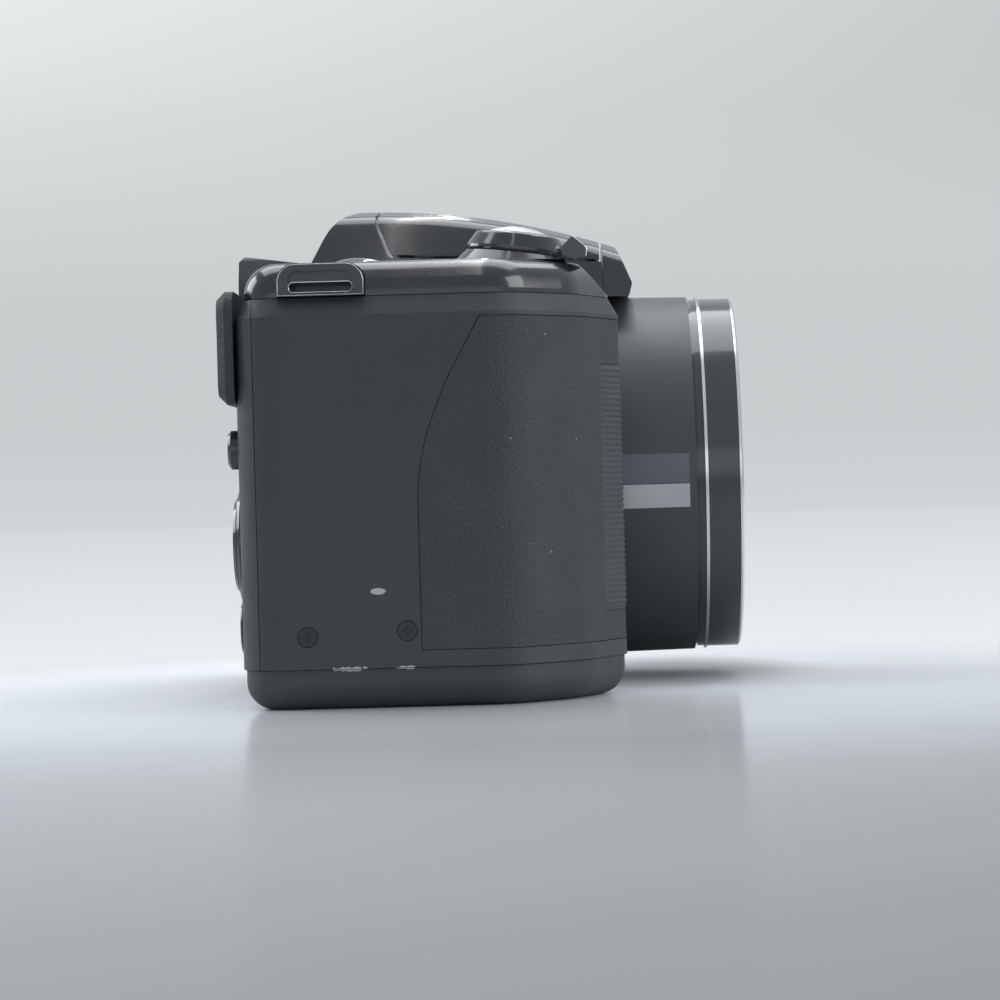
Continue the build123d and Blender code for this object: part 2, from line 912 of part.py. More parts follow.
def tripod_socket():
    # A threaded insert, its thread left plain at the major radius
    body = rod_z(0, 0, 0, base_height - seam, socket_radius)
    body += rod_z(0, 0, base_height - seam - socket_flange_thickness, base_height - seam, socket_flange)
    body += rod_z(0, 0, 0, socket_depth + socket_flange_thickness, socket_radius)
    return body - rod_z(0, 0, -overrun, socket_depth, socket_thread_radius)


def door_hinge_pin():
    spans = knuckle_spans()
    return rod_hinge(spans[0][0], spans[-1][1], hinge_pin_radius)


def hump_section(share):
    # One cross-section of the flash housing, from its back (0) to its front (1)
    height = hump_rear_height + hump_rise * share - hump_fall * share**2
    base = hump_base_half - hump_taper * share
    top = hump_top_half - hump_taper * share / 2
    y = hump_rear + overrun - (hump_front + hump_rear + overrun * 2) * share
    points = [
        (-base, hump_foot - wall * 3),
        (-top, height - hump_shoulder_drop),
        (-top * hump_crown_share, height),
        (top * hump_crown_share, height),
        (top, height - hump_shoulder_drop),
        (base, hump_foot - wall * 3),
    ]
    radii = [0, hump_shoulder_radius, hump_crown_radius, hump_crown_radius, hump_shoulder_radius, 0]
    return Plane.XZ.offset(-y) * closed(points, radii)


def hump_side():
    # The flash housing's profile seen from the side, as (y, z)
    back = hump_rear + wall / 3
    front = -hump_front
    top = hump_rear_height + overrun * 3
    nose_top = hump_rear_height + hump_rise - hump_fall + overrun
    points = [
        (back, top_height - wall),
        (back - hump_back_run, hump_rear_height - hump_back_climb),
        (back - hump_back_run * 3, top),
        (front + wall * 2.4, top),
        (front + wall * 1.4, nose_top),
        (front, hump_foot + wall * 1.2),
        (front + wall / 3, hump_foot),
        (front_y + wall, hump_foot),
        (front_y + wall, top_height - wall),
    ]
    return closed(points, [0, hump_back_radius, 0, 0, wall, wall / 2, wall / 4, 0, 0])


def hump_blank():
    last = hump_sections - 1
    body = loft([hump_section(index / last) for index in range(hump_sections)])
    return body & prism_x(hump_side(), -hump_base_half - overrun, hump_base_half + overrun)


def head_zone(grow=0):
    # The lifting part of the flash housing, whose rear edge swings close round the hinge
    low_rear = head_low_rear - grow
    low_front = head_low_front - grow
    outline = [
        (grow - head_lip_back, hump_rear_height + overrun * 3),
        (grow - head_lip_back, head_axis_height + head_lip_rise),
        (grow - head_rear_back, head_axis_height + head_rear_rise),
        (grow - head_rear_back, head_axis_height - head_rear_drop),
        (grow - head_foot_back, low_rear),
        (-head_front - grow, low_front),
        (-head_front - grow, hump_rear_height + overrun * 3),
    ]
    half = hump_base_half + overrun
    return prism_x(closed(outline, [0, 0, 0, 0, head_foot_round, 0, 0]), -half, half)


def flash_box(grow=0):
    return slab(-flash_box_half - grow, flash_box_half + grow, -flash_box_front - grow * 3,
                -flash_box_rear + grow, flash_box_low - grow, head_low_rear + overrun)


def ear_slot(x):
    # The room in the head for one hinge ear
    half = ear_thickness / 2 + ear_play
    room = rod_x(x - half, x + half, head_axis_y, head_axis_height, ear_radius + hinge_play * 4)
    return room + slab(x - half, x + half, head_axis_y - head_bead_radius,
                       head_axis_y + head_bead_radius + overrun * 2,
                       hump_foot, head_axis_height - ear_stem / 4)


def flash_head():
    body = hump_blank() & head_zone()
    inside = Pos(0, 0, -head_wall) * hump_blank()
    band = slab(-hump_base_half, hump_base_half, -head_front + head_wall,
                head_axis_y - head_bead_radius - wall,
                hump_foot, hump_rear_height)
    narrow = slab(-flash_box_half + flash_wall, flash_box_half - flash_wall, -head_front + head_wall * 2,
                  head_axis_y - head_bead_radius - wall, hump_foot, hump_rear_height)
    body -= inside & band & narrow
    body += flash_box() & hump_lower()
    hollow = slab(-flash_box_half + flash_wall, flash_box_half - flash_wall, -flash_box_front - overrun,
                  -flash_box_rear - flash_wall, flash_box_low + flash_wall, flash_box_high)
    body -= hollow
    for x in ear_places:
        body -= ear_slot(x)
        half = ear_thickness * 2
        body -= rod_x(x - half, x + half, head_axis_y, head_axis_height, ear_pin_radius + ear_pin_play)
    return body


def hump_lower():
    return Pos(0, 0, -head_wall / 2) * hump_blank() + hump_blank()


def flash_window():
    half = flash_box_half - flash_wall - seam
    back = -flash_box_front + seam + flash_window_thickness
    return slab(-half, half, -flash_box_front + seam, back, flash_box_low + flash_wall + seam,
                flash_box_high - seam)


def flash_reflector():
    half = flash_box_half - flash_wall - seam
    back = -flash_box_rear - flash_wall - seam
    front = -flash_box_front + seam * 2 + flash_window_thickness
    low = flash_box_low + flash_wall + seam
    high = flash_box_high - seam
    middle = (low + high) / 2
    outline = [
        (front, low), (front + flash_wall, low), (back, middle - tube_radius * 1.15),
        (back, middle + tube_radius * 1.15), (front + flash_wall, high), (front, high),
    ]
    cone = prism_x(closed(outline), -half, half)
    hollow = [
        (front - overrun, low + flash_wall / 2), (front, low + flash_wall / 2),
        (back - flash_wall, middle - tube_radius * 0.7), (back - flash_wall, middle + tube_radius * 0.7),
        (front, high - flash_wall / 2), (front - overrun, high - flash_wall / 2),
    ]
    cone -= prism_x(closed(hollow), flash_wall / 2 - half, half - flash_wall / 2)
    return cone - rod_x(-half - overrun, half + overrun, front + flash_wall + tube_radius * 2.5, middle,
                        tube_radius)


def flash_tube():
    half = flash_box_half - flash_wall - seam
    front = -flash_box_front + seam * 2 + flash_window_thickness
    middle = (flash_box_low + flash_wall + flash_box_high) / 2
    return rod_x(-half, half, front + flash_wall + tube_radius * 2.5, middle, tube_radius)


def flash_hinge_pins():
    half = ear_thickness / 2 + ear_play + wall
    return [rod_x(x - half, x + half, head_axis_y, head_axis_height, ear_pin_radius) for x in ear_places]


def cap_zone():
    return slab(-hump_base_half, hump_base_half, -hump_front - overrun, -head_front - cap_gap,
                hump_foot - wall,
                hump_rear_height)


def hump_front_cap():
    body = (hump_blank() & cap_zone()) - lens_clearance(barrel_radius + seam)
    for side in (-1, 1):
        edge = hump_base_half * side
        body -= rod_x(edge - wall * 3, edge + wall * 3, notch_y(), head_low_front - seam, notch_radius)
    return body


def notch_y():
    return -head_front - cap_gap + notch_radius / 2


def top_blank():
    body = prism_z(plan(shoulder_inset), cover_top + seam, top_height)
    body = fillet(body.faces().sort_by(Axis.Z)[-1].edges(), top_edge_radius)
    return body - nose_slope()


def nose_slope():
    # The plane that slopes down over the grip's nose
    start = front_y - slope_start_ahead
    points = [
        (start + slope_run, top_height + slope_drop),
        (start - slope_run * 2, top_height - slope_drop * 2),
        (start - slope_run * 3, top_height + slope_drop),
    ]
    return prism_x(closed(points), grip_x - overrun, root_x + overrun)


def top_hollow():
    body = prism_z(plan(shoulder_inset + wall + overrun), cover_top - overrun, top_height - wall)
    return body - Pos(0, wall, -wall) * nose_slope()


def tilted(shape):
    # Places a control drawn upright at the origin on the tilted control axis
    return Pos(-control_x, control_y, control_height) * (Rot(control_tilt, 0, 0) * shape)


def hub_hole():
    return hub_radius - hub_wall


def top_cover():
    body = top_blank()
    bed = hump_blank() - cap_zone() - head_zone(head_gap / 2) - flash_box(flash_well_play)
    bed -= rod_x(-hump_base_half, hump_base_half, head_axis_y, head_axis_height,
                 head_sweep_radius + seam)
    body += bed - slab(-hump_base_half, hump_base_half, -hump_front, -head_front - cap_gap + seam, 0,
                       hump_rear_height)
    body -= top_hollow()
    inside = Pos(0, -wall / 2, -wall) * hump_blank()
    room = slab(-hump_top_half, hump_top_half, head_axis_y + head_bead_radius + head_gap + wall,
                hump_rear - wall * 2, cover_top, hump_rear_height)
    body -= inside & room
    for x in ear_places:
        body += hinge_ear(x)
        body -= rod_x(x - ear_thickness, x + ear_thickness, head_axis_y, head_axis_height, ear_pin_radius)
    body -= lens_clearance(barrel_radius + seam)
    body -= slab(-crown_half - seam, crown_half + seam, rear_seam_y - seam, rear_y, 0,
                 top_height + overrun)
    body -= rod_z(-control_x, -power_ahead, cover_top, top_height + overrun, power_radius + power_play)
    body -= tilted(Cylinder(hub_hole() + hub_wall + seam, top_height))
    body -= flash_button_shape(button_play, cover_top, top_height + overrun)
    body -= lug_blank(-1, lug_play) + lug_blank(1, lug_play)
    for x, y in sound_holes():
        body -= rod_z(x, y, cover_top, top_height + overrun, sound_hole_radius)
    return body


def hinge_ear(x):
    half = ear_thickness / 2
    ear = rod_x(x - half, x + half, head_axis_y, head_axis_height, ear_radius)
    return ear + slab(x - half, x + half, head_axis_y - ear_stem, head_axis_y + ear_stem,
                      head_low_front - wall * 2, head_axis_height)


def sound_holes():
    ring_of_holes = [
        (
            speaker_x + sound_hole_ring * math.cos(math.tau * index / sound_hole_count),
            -speaker_ahead + sound_hole_ring * math.sin(math.tau * index / sound_hole_count),
        )
        for index in range(sound_hole_count)
    ]
    return [(speaker_x, -speaker_ahead)] + ring_of_holes


def speaker():
    return rod_z(speaker_x, -speaker_ahead, top_height - wall - seam - speaker_thickness,
                 top_height - wall - seam,
                 speaker_radius)


def flash_button_shape(grow, z_low, z_high):
    face = RectangleRounded(2 * (flash_button_half + grow), 2 * (flash_button_radius + grow),
                            (flash_button_radius + grow) * oval_share)
    return prism_z(Pos(flash_button_x, flash_button_ahead) * face, z_low, z_high)


def flash_button():
    low = top_height - wall - button_flange_thickness - seam
    return flash_button_shape(0, low, top_height + flash_button_proud) + flash_button_shape(
        button_flange, low, low + button_flange_thickness
    )


def control_base():
    # A truncated cone on the top cover, with the hub that the lever turns on
    height = control_base_radius
    flare = (control_base_radius - control_top_radius) / wall
    cone = Pos(0, 0, -height / 2 - lever_gap) * Cone(
        control_top_radius + flare * height, control_top_radius, height
    )
    cone &= Cylinder(control_base_radius, height * 3)
    hub = Pos(0, 0, (lever_thickness - height) / 2) * Cylinder(hub_radius, height + lever_thickness)
    body = tilted(cone + hub)
    body -= slab(grip_x, root_x, nose_tip_y - wall, rear_y, 0, top_height + seam / 2)
    body += tilted(Cylinder(hub_radius - seam * 2, wall * 3)) - slab(
        grip_x, root_x, nose_tip_y - wall, rear_y, top_height + wall, top_height * 2
    )
    return body - tilted(Cylinder(hub_hole(), top_height))


def zoom_lever():
    slope = lever_thickness - lever_rim
    body = Pos(0, 0, lever_rim / 2) * Cylinder(lever_radius, lever_rim)
    body += Pos(0, 0, lever_rim + slope / 2) * Cone(lever_radius, lever_top_radius, slope)
    body = fillet(body.faces().sort_by(Axis.Z)[-1].edges(), lever_edge)
    profile = [
        (-nose_back, 0), (-nose_back, lever_rim), (-nose_crest, nose_height),
        (-nose_reach, nose_tip_height), (-nose_reach, 0),
    ]
    radii = [0, 0, nose_edge, nose_edge, 0]
    body += prism_x(closed(profile, radii), -nose_half, nose_half)
    body -= Cylinder(hub_radius + hinge_play * 2, lever_thickness * 3)
    return tilted(body)


def shutter_button():
    radius = hub_hole() - slide_fit
    dome_radius = (radius**2 + shutter_dome**2) / (2 * shutter_dome)
    cap = Pos(0, 0, lever_thickness / 2) * Cylinder(radius, lever_thickness)
    dome = Pos(0, 0, lever_thickness + shutter_dome - dome_radius) * Sphere(dome_radius)
    dome &= Pos(0, 0, lever_thickness + shutter_dome / 2) * Cylinder(radius, shutter_dome + seam)
    switch_top = top_board_height + board_thickness + switch_dome_height
    reach = control_height - switch_top - shutter_travel - seam * 2
    stem = Pos(0, 0, -reach / 2) * Cylinder(shutter_stem_radius, reach)
    return tilted(Pos(0, 0, shutter_travel / 4) * (cap + dome + stem))


def power_button():
    dome_radius = (power_radius**2 + power_dome**2) / (2 * power_dome)
    low = top_height - wall - button_flange_thickness - seam
    disc = rod_z(-control_x, -power_ahead, low, top_height, power_radius)
    dome = Pos(-control_x, -power_ahead, top_height + power_dome - dome_radius) * Sphere(dome_radius)
    dome &= rod_z(-control_x, -power_ahead, top_height - seam, top_height + power_dome, power_radius)
    end = top_board_height + board_thickness + switch_dome_height + button_travel + seam
    stem = rod_z(-control_x, -power_ahead, end, low, shutter_stem_radius)
    flange = rod_z(-control_x, -power_ahead, low, low + button_flange_thickness,
                   power_radius + button_flange)
    return disc + dome + flange + stem


def top_switch_board():
    high = top_board_height
    half = power_radius * 1.6
    board = slab(-control_x - half, -control_x + half, -control_ahead - switch_dome_radius * 1.5,
                 -power_ahead + power_radius, high, high + board_thickness)
    for y in (-control_ahead, -power_ahead):
        board += rod_z(-control_x, y, high, high + board_thickness + switch_dome_height,
                       switch_dome_radius)
    return board


def lug_blank(side, grow=0):
    face = closed(
        [
            (lug_rear + grow, lug_low - grow),
            (lug_rear + grow, lug_high + grow),
            (-lug_front - grow, lug_high + grow),
            (-lug_front - grow, lug_low - grow),
        ],
        [0, lug_corner, lug_corner, 0],
    )
    outer = grip_x if side < 0 else far_x
    inner = outer - side * (lug_depth + grow)
    return prism_x(face, min(outer + side * grow, inner), max(outer + side * grow, inner))


def strap_lug(side):
    body = lug_blank(side)
    outer = grip_x if side < 0 else far_x
    middle = (lug_rear - lug_front) / 2
    top = lug_slot_low + lug_slot_height
    face = rounded(middle - lug_slot_length / 2, middle + lug_slot_length / 2, lug_slot_low, top,
                   lug_slot_height / 2.2)
    end = outer - side * (lug_depth - overrun)
    body -= prism_x(face, min(outer + side * overrun, end), max(outer + side * overrun, end))
    low = lug_slot_low - seam * 2
    dish = rounded(middle - lug_slot_length / 2, middle + lug_slot_length / 2, low, low + lug_dish_height,
                   lug_dish_corner)
    floor = outer - side * lug_dish_depth
    body -= prism_x(dish, min(outer + side * overrun, floor), max(outer + side * overrun, floor))
    near = outer - side * lug_bar
    mouth = rounded(min(near, end), max(near, end), middle - lug_slot_length / 2,
                    middle + lug_slot_length / 2,
                    lug_slot_height / 3)
    return body - prism_z(mouth, (lug_slot_low + top) / 2, lug_high + overrun)


def terminal_face(grow):
    half = terminal_width / 2 + grow
    return rounded(terminal_centre - half, terminal_centre + half, terminal_low - grow,
                   terminal_high + grow,
                   terminal_rim)


def terminal_hollow():
    recess = prism_x(terminal_face(terminal_play), far_x - terminal_thickness - seam, far_x + overrun)
    room = prism_x(terminal_face(-terminal_rim), far_x - wall - overrun, far_x)
    y = terminal_hinge_y()
    x = far_x - terminal_knuckle_radius
    bead = rod_z(x, y, terminal_low - terminal_play, terminal_high + terminal_play,
                 terminal_knuckle_radius + terminal_play)
    pivots = rod_z(x, y, terminal_low - terminal_rim - terminal_play,
                   terminal_high + terminal_rim + terminal_play,
                   terminal_pin_radius + hinge_play)
    return recess + room + bead + pivots


def terminal_hinge_y():
    return terminal_centre - terminal_width / 2 + terminal_knuckle_radius


def terminal_cover():
    body = prism_x(terminal_face(0), far_x - terminal_thickness, far_x)
    y = terminal_hinge_y()
    x = far_x - terminal_knuckle_radius
    body -= slab(x - terminal_knuckle_radius, far_x + overrun, y - terminal_knuckle_radius * 2, y,
                 terminal_low,
                 terminal_high)
    body += rod_z(x, y, terminal_low, terminal_high, terminal_knuckle_radius)
    return body + rod_z(x, y, terminal_low - terminal_rim, terminal_high + terminal_rim,
                        terminal_pin_radius)


def output_jacks():
    # A data socket over a round supply socket, on one carrier block
    face = far_x - wall - overrun - seam
    low = terminal_low + terminal_rim * 2
    middle = terminal_centre
    block = slab(face - jack_depth, face, middle - terminal_width / 3, middle + terminal_width / 3, low,
                 terminal_high - terminal_rim * 2)
    usb_z = low + (terminal_high - low) * 0.62
    jack_z = low + power_jack_radius * 1.6
    block -= slab(face - jack_depth / 2, face + overrun, middle - usb_width / 2, middle + usb_width / 2,
                  usb_z - usb_height / 2, usb_z + usb_height / 2)
    block += slab(face - jack_depth / 2, face - seam, middle - usb_width / 3, middle + usb_width / 3,
                  usb_z - usb_height / 8, usb_z + usb_height / 8)
    block -= rod_x(face - jack_depth / 2, face + overrun, middle, jack_z, power_jack_radius)
    return block + rod_x(face - jack_depth / 2, face - seam, middle, jack_z, power_jack_radius / 4)


def battery_box():
    half = cell_pitch / 2 + cell_radius - box_margin
    x = -cell_row_x + cell_pitch / 2
    y = -cell_row_y + cell_pitch / 2
    roof = cell_floor + cell_length + cell_play
    body = slab(x - half, x + half, y - half, y + half, base_height + seam,
                roof + contact_thickness + box_roof)
    body += capacitor_bracket()
    for place in cell_places:
        body -= rod_z(*place, 0, roof + contact_thickness, cell_radius + cell_play)
    return body - roof_contacts(cell_play)


def battery_cells():
    shapes = []
    for index, (x, y) in enumerate(cell_places):
        flip = (index + index // 2) % 2
        low = cell_floor + cell_button_height * flip
        can = rod_z(x, y, low, low + cell_length - cell_button_height, cell_radius)
        tip_low = cell_floor if flip else cell_floor + cell_length - cell_button_height
        shapes.append(can + rod_z(x, y, tip_low, tip_low + cell_button_height, cell_button_radius))
    return shapes


def contact_plate(first, second, z_low, grow=0):
    # A sprung leaf that bridges two cells
    x0, y0 = first
    x1, y1 = second
    half = contact_width / 2 + grow
    return slab(min(x0, x1) - half, max(x0, x1) + half, min(y0, y1) - half, max(y0, y1) + half,
                z_low - grow, z_low + contact_thickness)


def roof_contacts(grow=0):
    low = cell_floor + cell_length + cell_play / 2
    pairs = [(0, 1), (2, 2), (3, 3)]
    return [contact_plate(cell_places[a], cell_places[b], low, grow) for a, b in pairs]


def battery_contacts():
    return Compound(children=roof_contacts())


def door_contacts():
    shapes = []
    for first, second in ((0, 2), (1, 3)):
        plate = contact_plate(cell_places[first], cell_places[second], door_floor)
        for index in (first, second):
            x, y = cell_places[index]
            for turn in range(3):
                low = door_floor + contact_thickness * (1 + turn)
                radius = contact_width / 2 - turn * contact_thickness * 2
                plate += rod_z(x, y, low, low + contact_thickness * 1.2, radius)
        shapes.append(plate)
    return Compound(children=shapes)


def chassis_sides():
    return root_x + grip_root_radius, far_x - front_corner_radius


def chassis_posts(grow=0):
    low = base_height + overrun * 2 + post_radius
    high = cover_top - wall - overrun * 2 - post_radius * 6
    left, right = chassis_sides()
    places = [(x, z) for x in (left + post_radius, right - post_radius) for z in (low, high)]
    return [rod_y(x, z, chassis_y, board_y - seam, post_radius + grow) for x, z in places]


def chassis():
    high = cover_top - wall - overrun * 2
    low = base_height + overrun * 2
    left, right = chassis_sides()
    body = slab(left, right, chassis_y, chassis_y + chassis_thickness, low, high)
    body -= rod_y(0, lens_height, chassis_y - overrun, board_y, cam_radius + gear_band_height + mesh_gap)
    floor = base_height + seam
    back = flange_front_y + lens_base_thickness + plate_thickness
    body += slab(left, right, back, board_y - seam, floor, floor + chassis_thickness)
    for x in (left + post_radius, right - post_radius):
        body += slab(x - post_radius, x + post_radius, chassis_y, board_y - seam, floor,
                     low + post_radius)
    for post in chassis_posts():
        body += post
    for x, z in guide_screw_places():
        body -= rod_y(x, z, front_y, board_y, screw_shank_radius)
    body -= rod_y(-lamp_x, lamp_height, front_y, board_y, lamp_radius + lamp_flange + seam)
    return body - rod_z(0, 0, 0, top_height, socket_radius + seam)


def guide_screw_places():
    radius = (guide_tube_radius + guide_bore) / 2
    across = radius * math.cos(math.radians(guide_screw_angle))
    up = radius * math.sin(math.radians(guide_screw_angle))
    return [(x, lens_height + z) for x in (-across, across) for z in (-up, up)]


def main_board():
    low = base_height + overrun * 2
    board = slab(root_x + grip_root_radius - overrun, far_x - wall - board_margin, board_y,
                 board_y + board_thickness,
                 low, cover_top - wall - board_margin)
    chip = board_thickness
    back = board_y + board_thickness
    places = [
        (-lamp_x / 2, lens_height, large_chip_half),
        (lamp_x / 2, lens_height + large_chip_half * 2, small_chip_half),
    ]
    for x, z, half in places:
        board += slab(x - half, x + half, back, back + chip, z - half, z + half)
    return board + card_slot()


def lens_outer_barrel():
    body = turned(
        (barrel_bore, front_y - seam),
        (barrel_radius, front_y - seam),
        (barrel_front_radius, barrel_front_y),
        (barrel_bore, barrel_front_y),
    )
    return body


def lens_front_ring():
    # The gloss nose of the barrel, with a groove for the bright line and a spigot behind
    lip = outer_zoom_radius + slide_fit * 3
    spigot = barrel_bore - slide_fit / 2
    body = turned(
        (spigot - spigot_wall, barrel_front_y + spigot_length),
        (spigot, barrel_front_y + spigot_length),
        (spigot, barrel_front_y - groove_width),
        (strip_radius, barrel_front_y - groove_width),
        (strip_radius, strip_front_y),
        (spigot, strip_front_y),
        (spigot, silver_front_y),
        (front_ring_radius, silver_front_y),
        (front_ring_radius, ring_front_y),
        (lip, ring_front_y),
        (lip, ring_front_y + wall),
        (spigot - spigot_wall, ring_front_y + wall),
    )
    return body


def silver_line_ring():
    return tube(silver_line_radius, barrel_bore - slide_fit / 2, silver_front_y + seam / 4,
                strip_front_y - seam / 4)


def front_trim_ring():
    body = turned(
        (front_ring_radius - front_trim_width, ring_front_y - seam / 4),
        (front_ring_radius, ring_front_y - seam / 4),
        (front_ring_radius, ring_front_y - front_trim_length / 2),
        (front_ring_radius - front_trim_width / 2, lens_front_y),
        (front_ring_radius - front_trim_width, lens_front_y),
    )
    return body


def lens_guide_tube():
    front = ring_front_y + wall + seam
    spigot_bore = barrel_bore - slide_fit / 2 - spigot_wall
    body = turned(
        (guide_bore, front_y - seam),
        (guide_tube_radius, front_y - seam),
        (guide_tube_radius, barrel_front_y + spigot_length + seam),
        (spigot_bore - seam, barrel_front_y + spigot_length + seam),
        (spigot_bore - seam, front),
        (guide_bore, front),
    )
    for x, z in guide_screw_places():
        body -= rod_y(x, z, front_y - seam - wall, front_y, screw_shank_radius)
    return body


def cam_ring():
    front = ring_front_y + wall + seam * 2
    body = tube(cam_radius, cam_radius - cam_ring_wall, front, cam_back_y)
    band_front = chassis_y + chassis_thickness + overrun
    band = tube(cam_radius + gear_band_height, cam_radius - cam_ring_wall, band_front,
                band_front + gear_band)
    return body + band


def zoom_pinion():
    band_front = chassis_y + chassis_thickness + overrun
    x = pinion_x()
    wheel = rod_y(x, lens_height, band_front, band_front + gear_band, pinion_radius)
    end = flange_front_y + lens_base_thickness + overrun / 2
    return wheel + rod_y(x, lens_height, band_front, end, motor_shaft_radius)


def pinion_x():
    return -(cam_radius + gear_band_height + mesh_gap + pinion_radius)


def zoom_motor():
    x = pinion_x()
    start = flange_front_y + lens_base_thickness
    body = rod_y(x, lens_height, start, start + motor_length, motor_radius)
    bracket = slab(x - motor_radius, x + motor_radius, start, start + plate_thickness,
                   lens_height - motor_radius * 1.6,
                   lens_height + motor_radius * 1.6)
    shaft_hole = rod_y(x, lens_height, chassis_y, start + overrun, motor_shaft_radius + hinge_play)
    return body + bracket - shaft_hole


def lens_base():
    boss = outer_zoom_radius
    body = turned(
        (light_hole_radius, flange_front_y - lens_base_boss),
        (boss, flange_front_y - lens_base_boss),
        (boss, flange_front_y),
        (lens_base_flange, flange_front_y),
        (lens_base_flange, flange_front_y + lens_base_thickness),
        (light_hole_radius, flange_front_y + lens_base_thickness),
    )
    body -= tube(boss - wall, light_hole_radius + wall, flange_front_y - lens_base_boss - overrun,
                 flange_front_y)
    body &= slab(grip_x, far_x, front_y * 2, rear_y, base_height + seam, cover_top)
    for index in range(4):
        angle = math.radians(45 + 90 * index)
        x = post_circle * math.cos(angle)
        z = lens_height + post_circle * math.sin(angle)
        body += rod_y(x, z, chassis_y + chassis_thickness, flange_front_y + lens_base_thickness,
                      post_radius)
    body += slab(pinion_x(), -light_hole_radius - wall * 2, flange_front_y,
                 flange_front_y + lens_base_thickness,
                 lens_height - motor_radius, lens_height + motor_radius)
    body -= chassis_posts(seam)
    return body - rod_y(pinion_x(), lens_height, chassis_y, rear_y, motor_shaft_radius + hinge_play)


def zoom_outer_barrel():
    front = lens_front_y + front_trim_length / 2
    return tube(outer_zoom_radius, outer_zoom_radius - front_barrel_wall, front,
                front + outer_zoom_length)


def zoom_inner_barrel():
    front = lens_front_y + front_trim_length
    wall_in = inner_zoom_radius - inner_barrel_wall
    cell_back = front + name_ring_thickness * 2 + front_glass_edge
    body = tube(inner_zoom_radius, wall_in, front, front + inner_zoom_length)
    return body + tube(inner_zoom_radius, front_glass_radius - overrun, cell_back,
                       cell_back + wall) + tube(
        inner_zoom_radius, front_glass_radius + slide_fit / 2, front + name_ring_thickness * 2, cell_back
    )


def name_ring():
    front = lens_front_y + front_trim_length
    middle = front + name_ring_thickness * 2 - seam / 2
    return turned(
        (front_glass_radius - overrun / 2, middle),
        (front_glass_radius - overrun / 2, middle - name_ring_thickness / 2),
        (name_ring_radius - seam, front + name_ring_thickness / 4),
        (name_ring_radius - seam, middle),
    )


def lens_element(radius, edge, crown, back_y):
    # A glass with a domed front, its back face flat
    dome_radius = (radius**2 + crown**2) / (2 * crown)
    body = rod_y(0, lens_height, back_y - edge, back_y, radius)
    ball = Pos(0, back_y - edge - crown + dome_radius, lens_height) * Sphere(dome_radius)
    cap = rod_y(0, lens_height, back_y - edge - crown, back_y - edge + seam, radius)
    return body + (ball & cap)


def front_glass():
    front = lens_front_y + front_trim_length
    back = front + name_ring_thickness * 2 + front_glass_edge - seam / 2
    return lens_element(front_glass_radius, front_glass_edge - seam, front_glass_crown * 0.7, back)


def rear_lens_group():
    # The moving inner group in its cell, carried near the back of the inner barrel
    front = lens_front_y + front_trim_length
    back = front + inner_zoom_length
    disc = tube(inner_zoom_radius - inner_barrel_wall - slide_fit / 2, rear_group_radius,
                back - wall * 2, back - wall)
    cell = disc + tube(rear_group_radius + wall, rear_group_radius, back - wall - rear_group_length,
                       back - wall)
    glass = lens_element(rear_group_radius - slide_fit / 2, front_glass_edge, front_glass_crown / 2,
                         back - wall * 2)
    return Compound(children=[cell, glass])


def image_sensor():
    # The chip in the lens base's light hole, and the plate behind that carries it
    back = flange_front_y + lens_base_thickness
    chip = slab(-sensor_width / 2, sensor_width / 2, back - sensor_thickness, back,
                lens_height - sensor_height / 2, lens_height + sensor_height / 2)
    plate = slab(-sensor_plate_width / 2, sensor_plate_width / 2, back, back + plate_thickness,
                 lens_height - sensor_plate_height / 2, lens_height + sensor_plate_height / 2)
    return Compound(children=[chip, plate])


def focus_lamp_window():
    body = rod_y(-lamp_x, lamp_height, front_y, front_y + wall + lamp_flange, lamp_radius)
    return body + rod_y(-lamp_x, lamp_height, front_y + wall, front_y + wall + lamp_flange,
                        lamp_radius + lamp_flange)


def flash_capacitor():
    body = rod_z(-capacitor_x, -capacitor_ahead, capacitor_low, capacitor_low + capacitor_length,
                 capacitor_radius)
    return chamfer(body.edges().filter_by(GeomType.CIRCLE), capacitor_radius / 8)


def capacitor_bracket():
    # A clip between the battery box and the capacitor
    back = -cell_row_y - cell_radius + box_margin
    front = -capacitor_ahead - capacitor_radius / 2
    middle = capacitor_low + capacitor_length / 2
    half = capacitor_radius + wall / 2
    body = slab(-capacitor_x - half, -capacitor_x + half, front, back, middle - wall * 2,
                middle + wall * 2)
    return body - rod_z(-capacitor_x, -capacitor_ahead, 0, cover_top, capacitor_radius + seam / 2)


def card_slot():
    y = board_y + board_thickness
    t = card_slot_wall
    body = slab(card_x - t, card_x + card_width + t, y, y + card_thickness + 2 * t, card_low,
                card_low + card_height * 0.7)
    return body - slab(card_x, card_x + card_width, y + t, y + t + card_thickness, 0, cover_top)


def microphone():
    return rod_z(-flash_button_x, flash_button_ahead, top_height - wall - seam - speaker_thickness / 2,
                 top_height - wall - seam, sound_hole_ring)


def sound_parts():
    return Compound(children=[speaker(), microphone()])


def switch_boards():
    return Compound(children=[rear_switch_board(), top_switch_board()])


def hinge_pins():
    # The flash's two pins and the battery door's long one
    return Compound(children=flash_hinge_pins() + [door_hinge_pin()])


def strap_lugs():
    return Compound(children=[strap_lug(-1), strap_lug(1)])


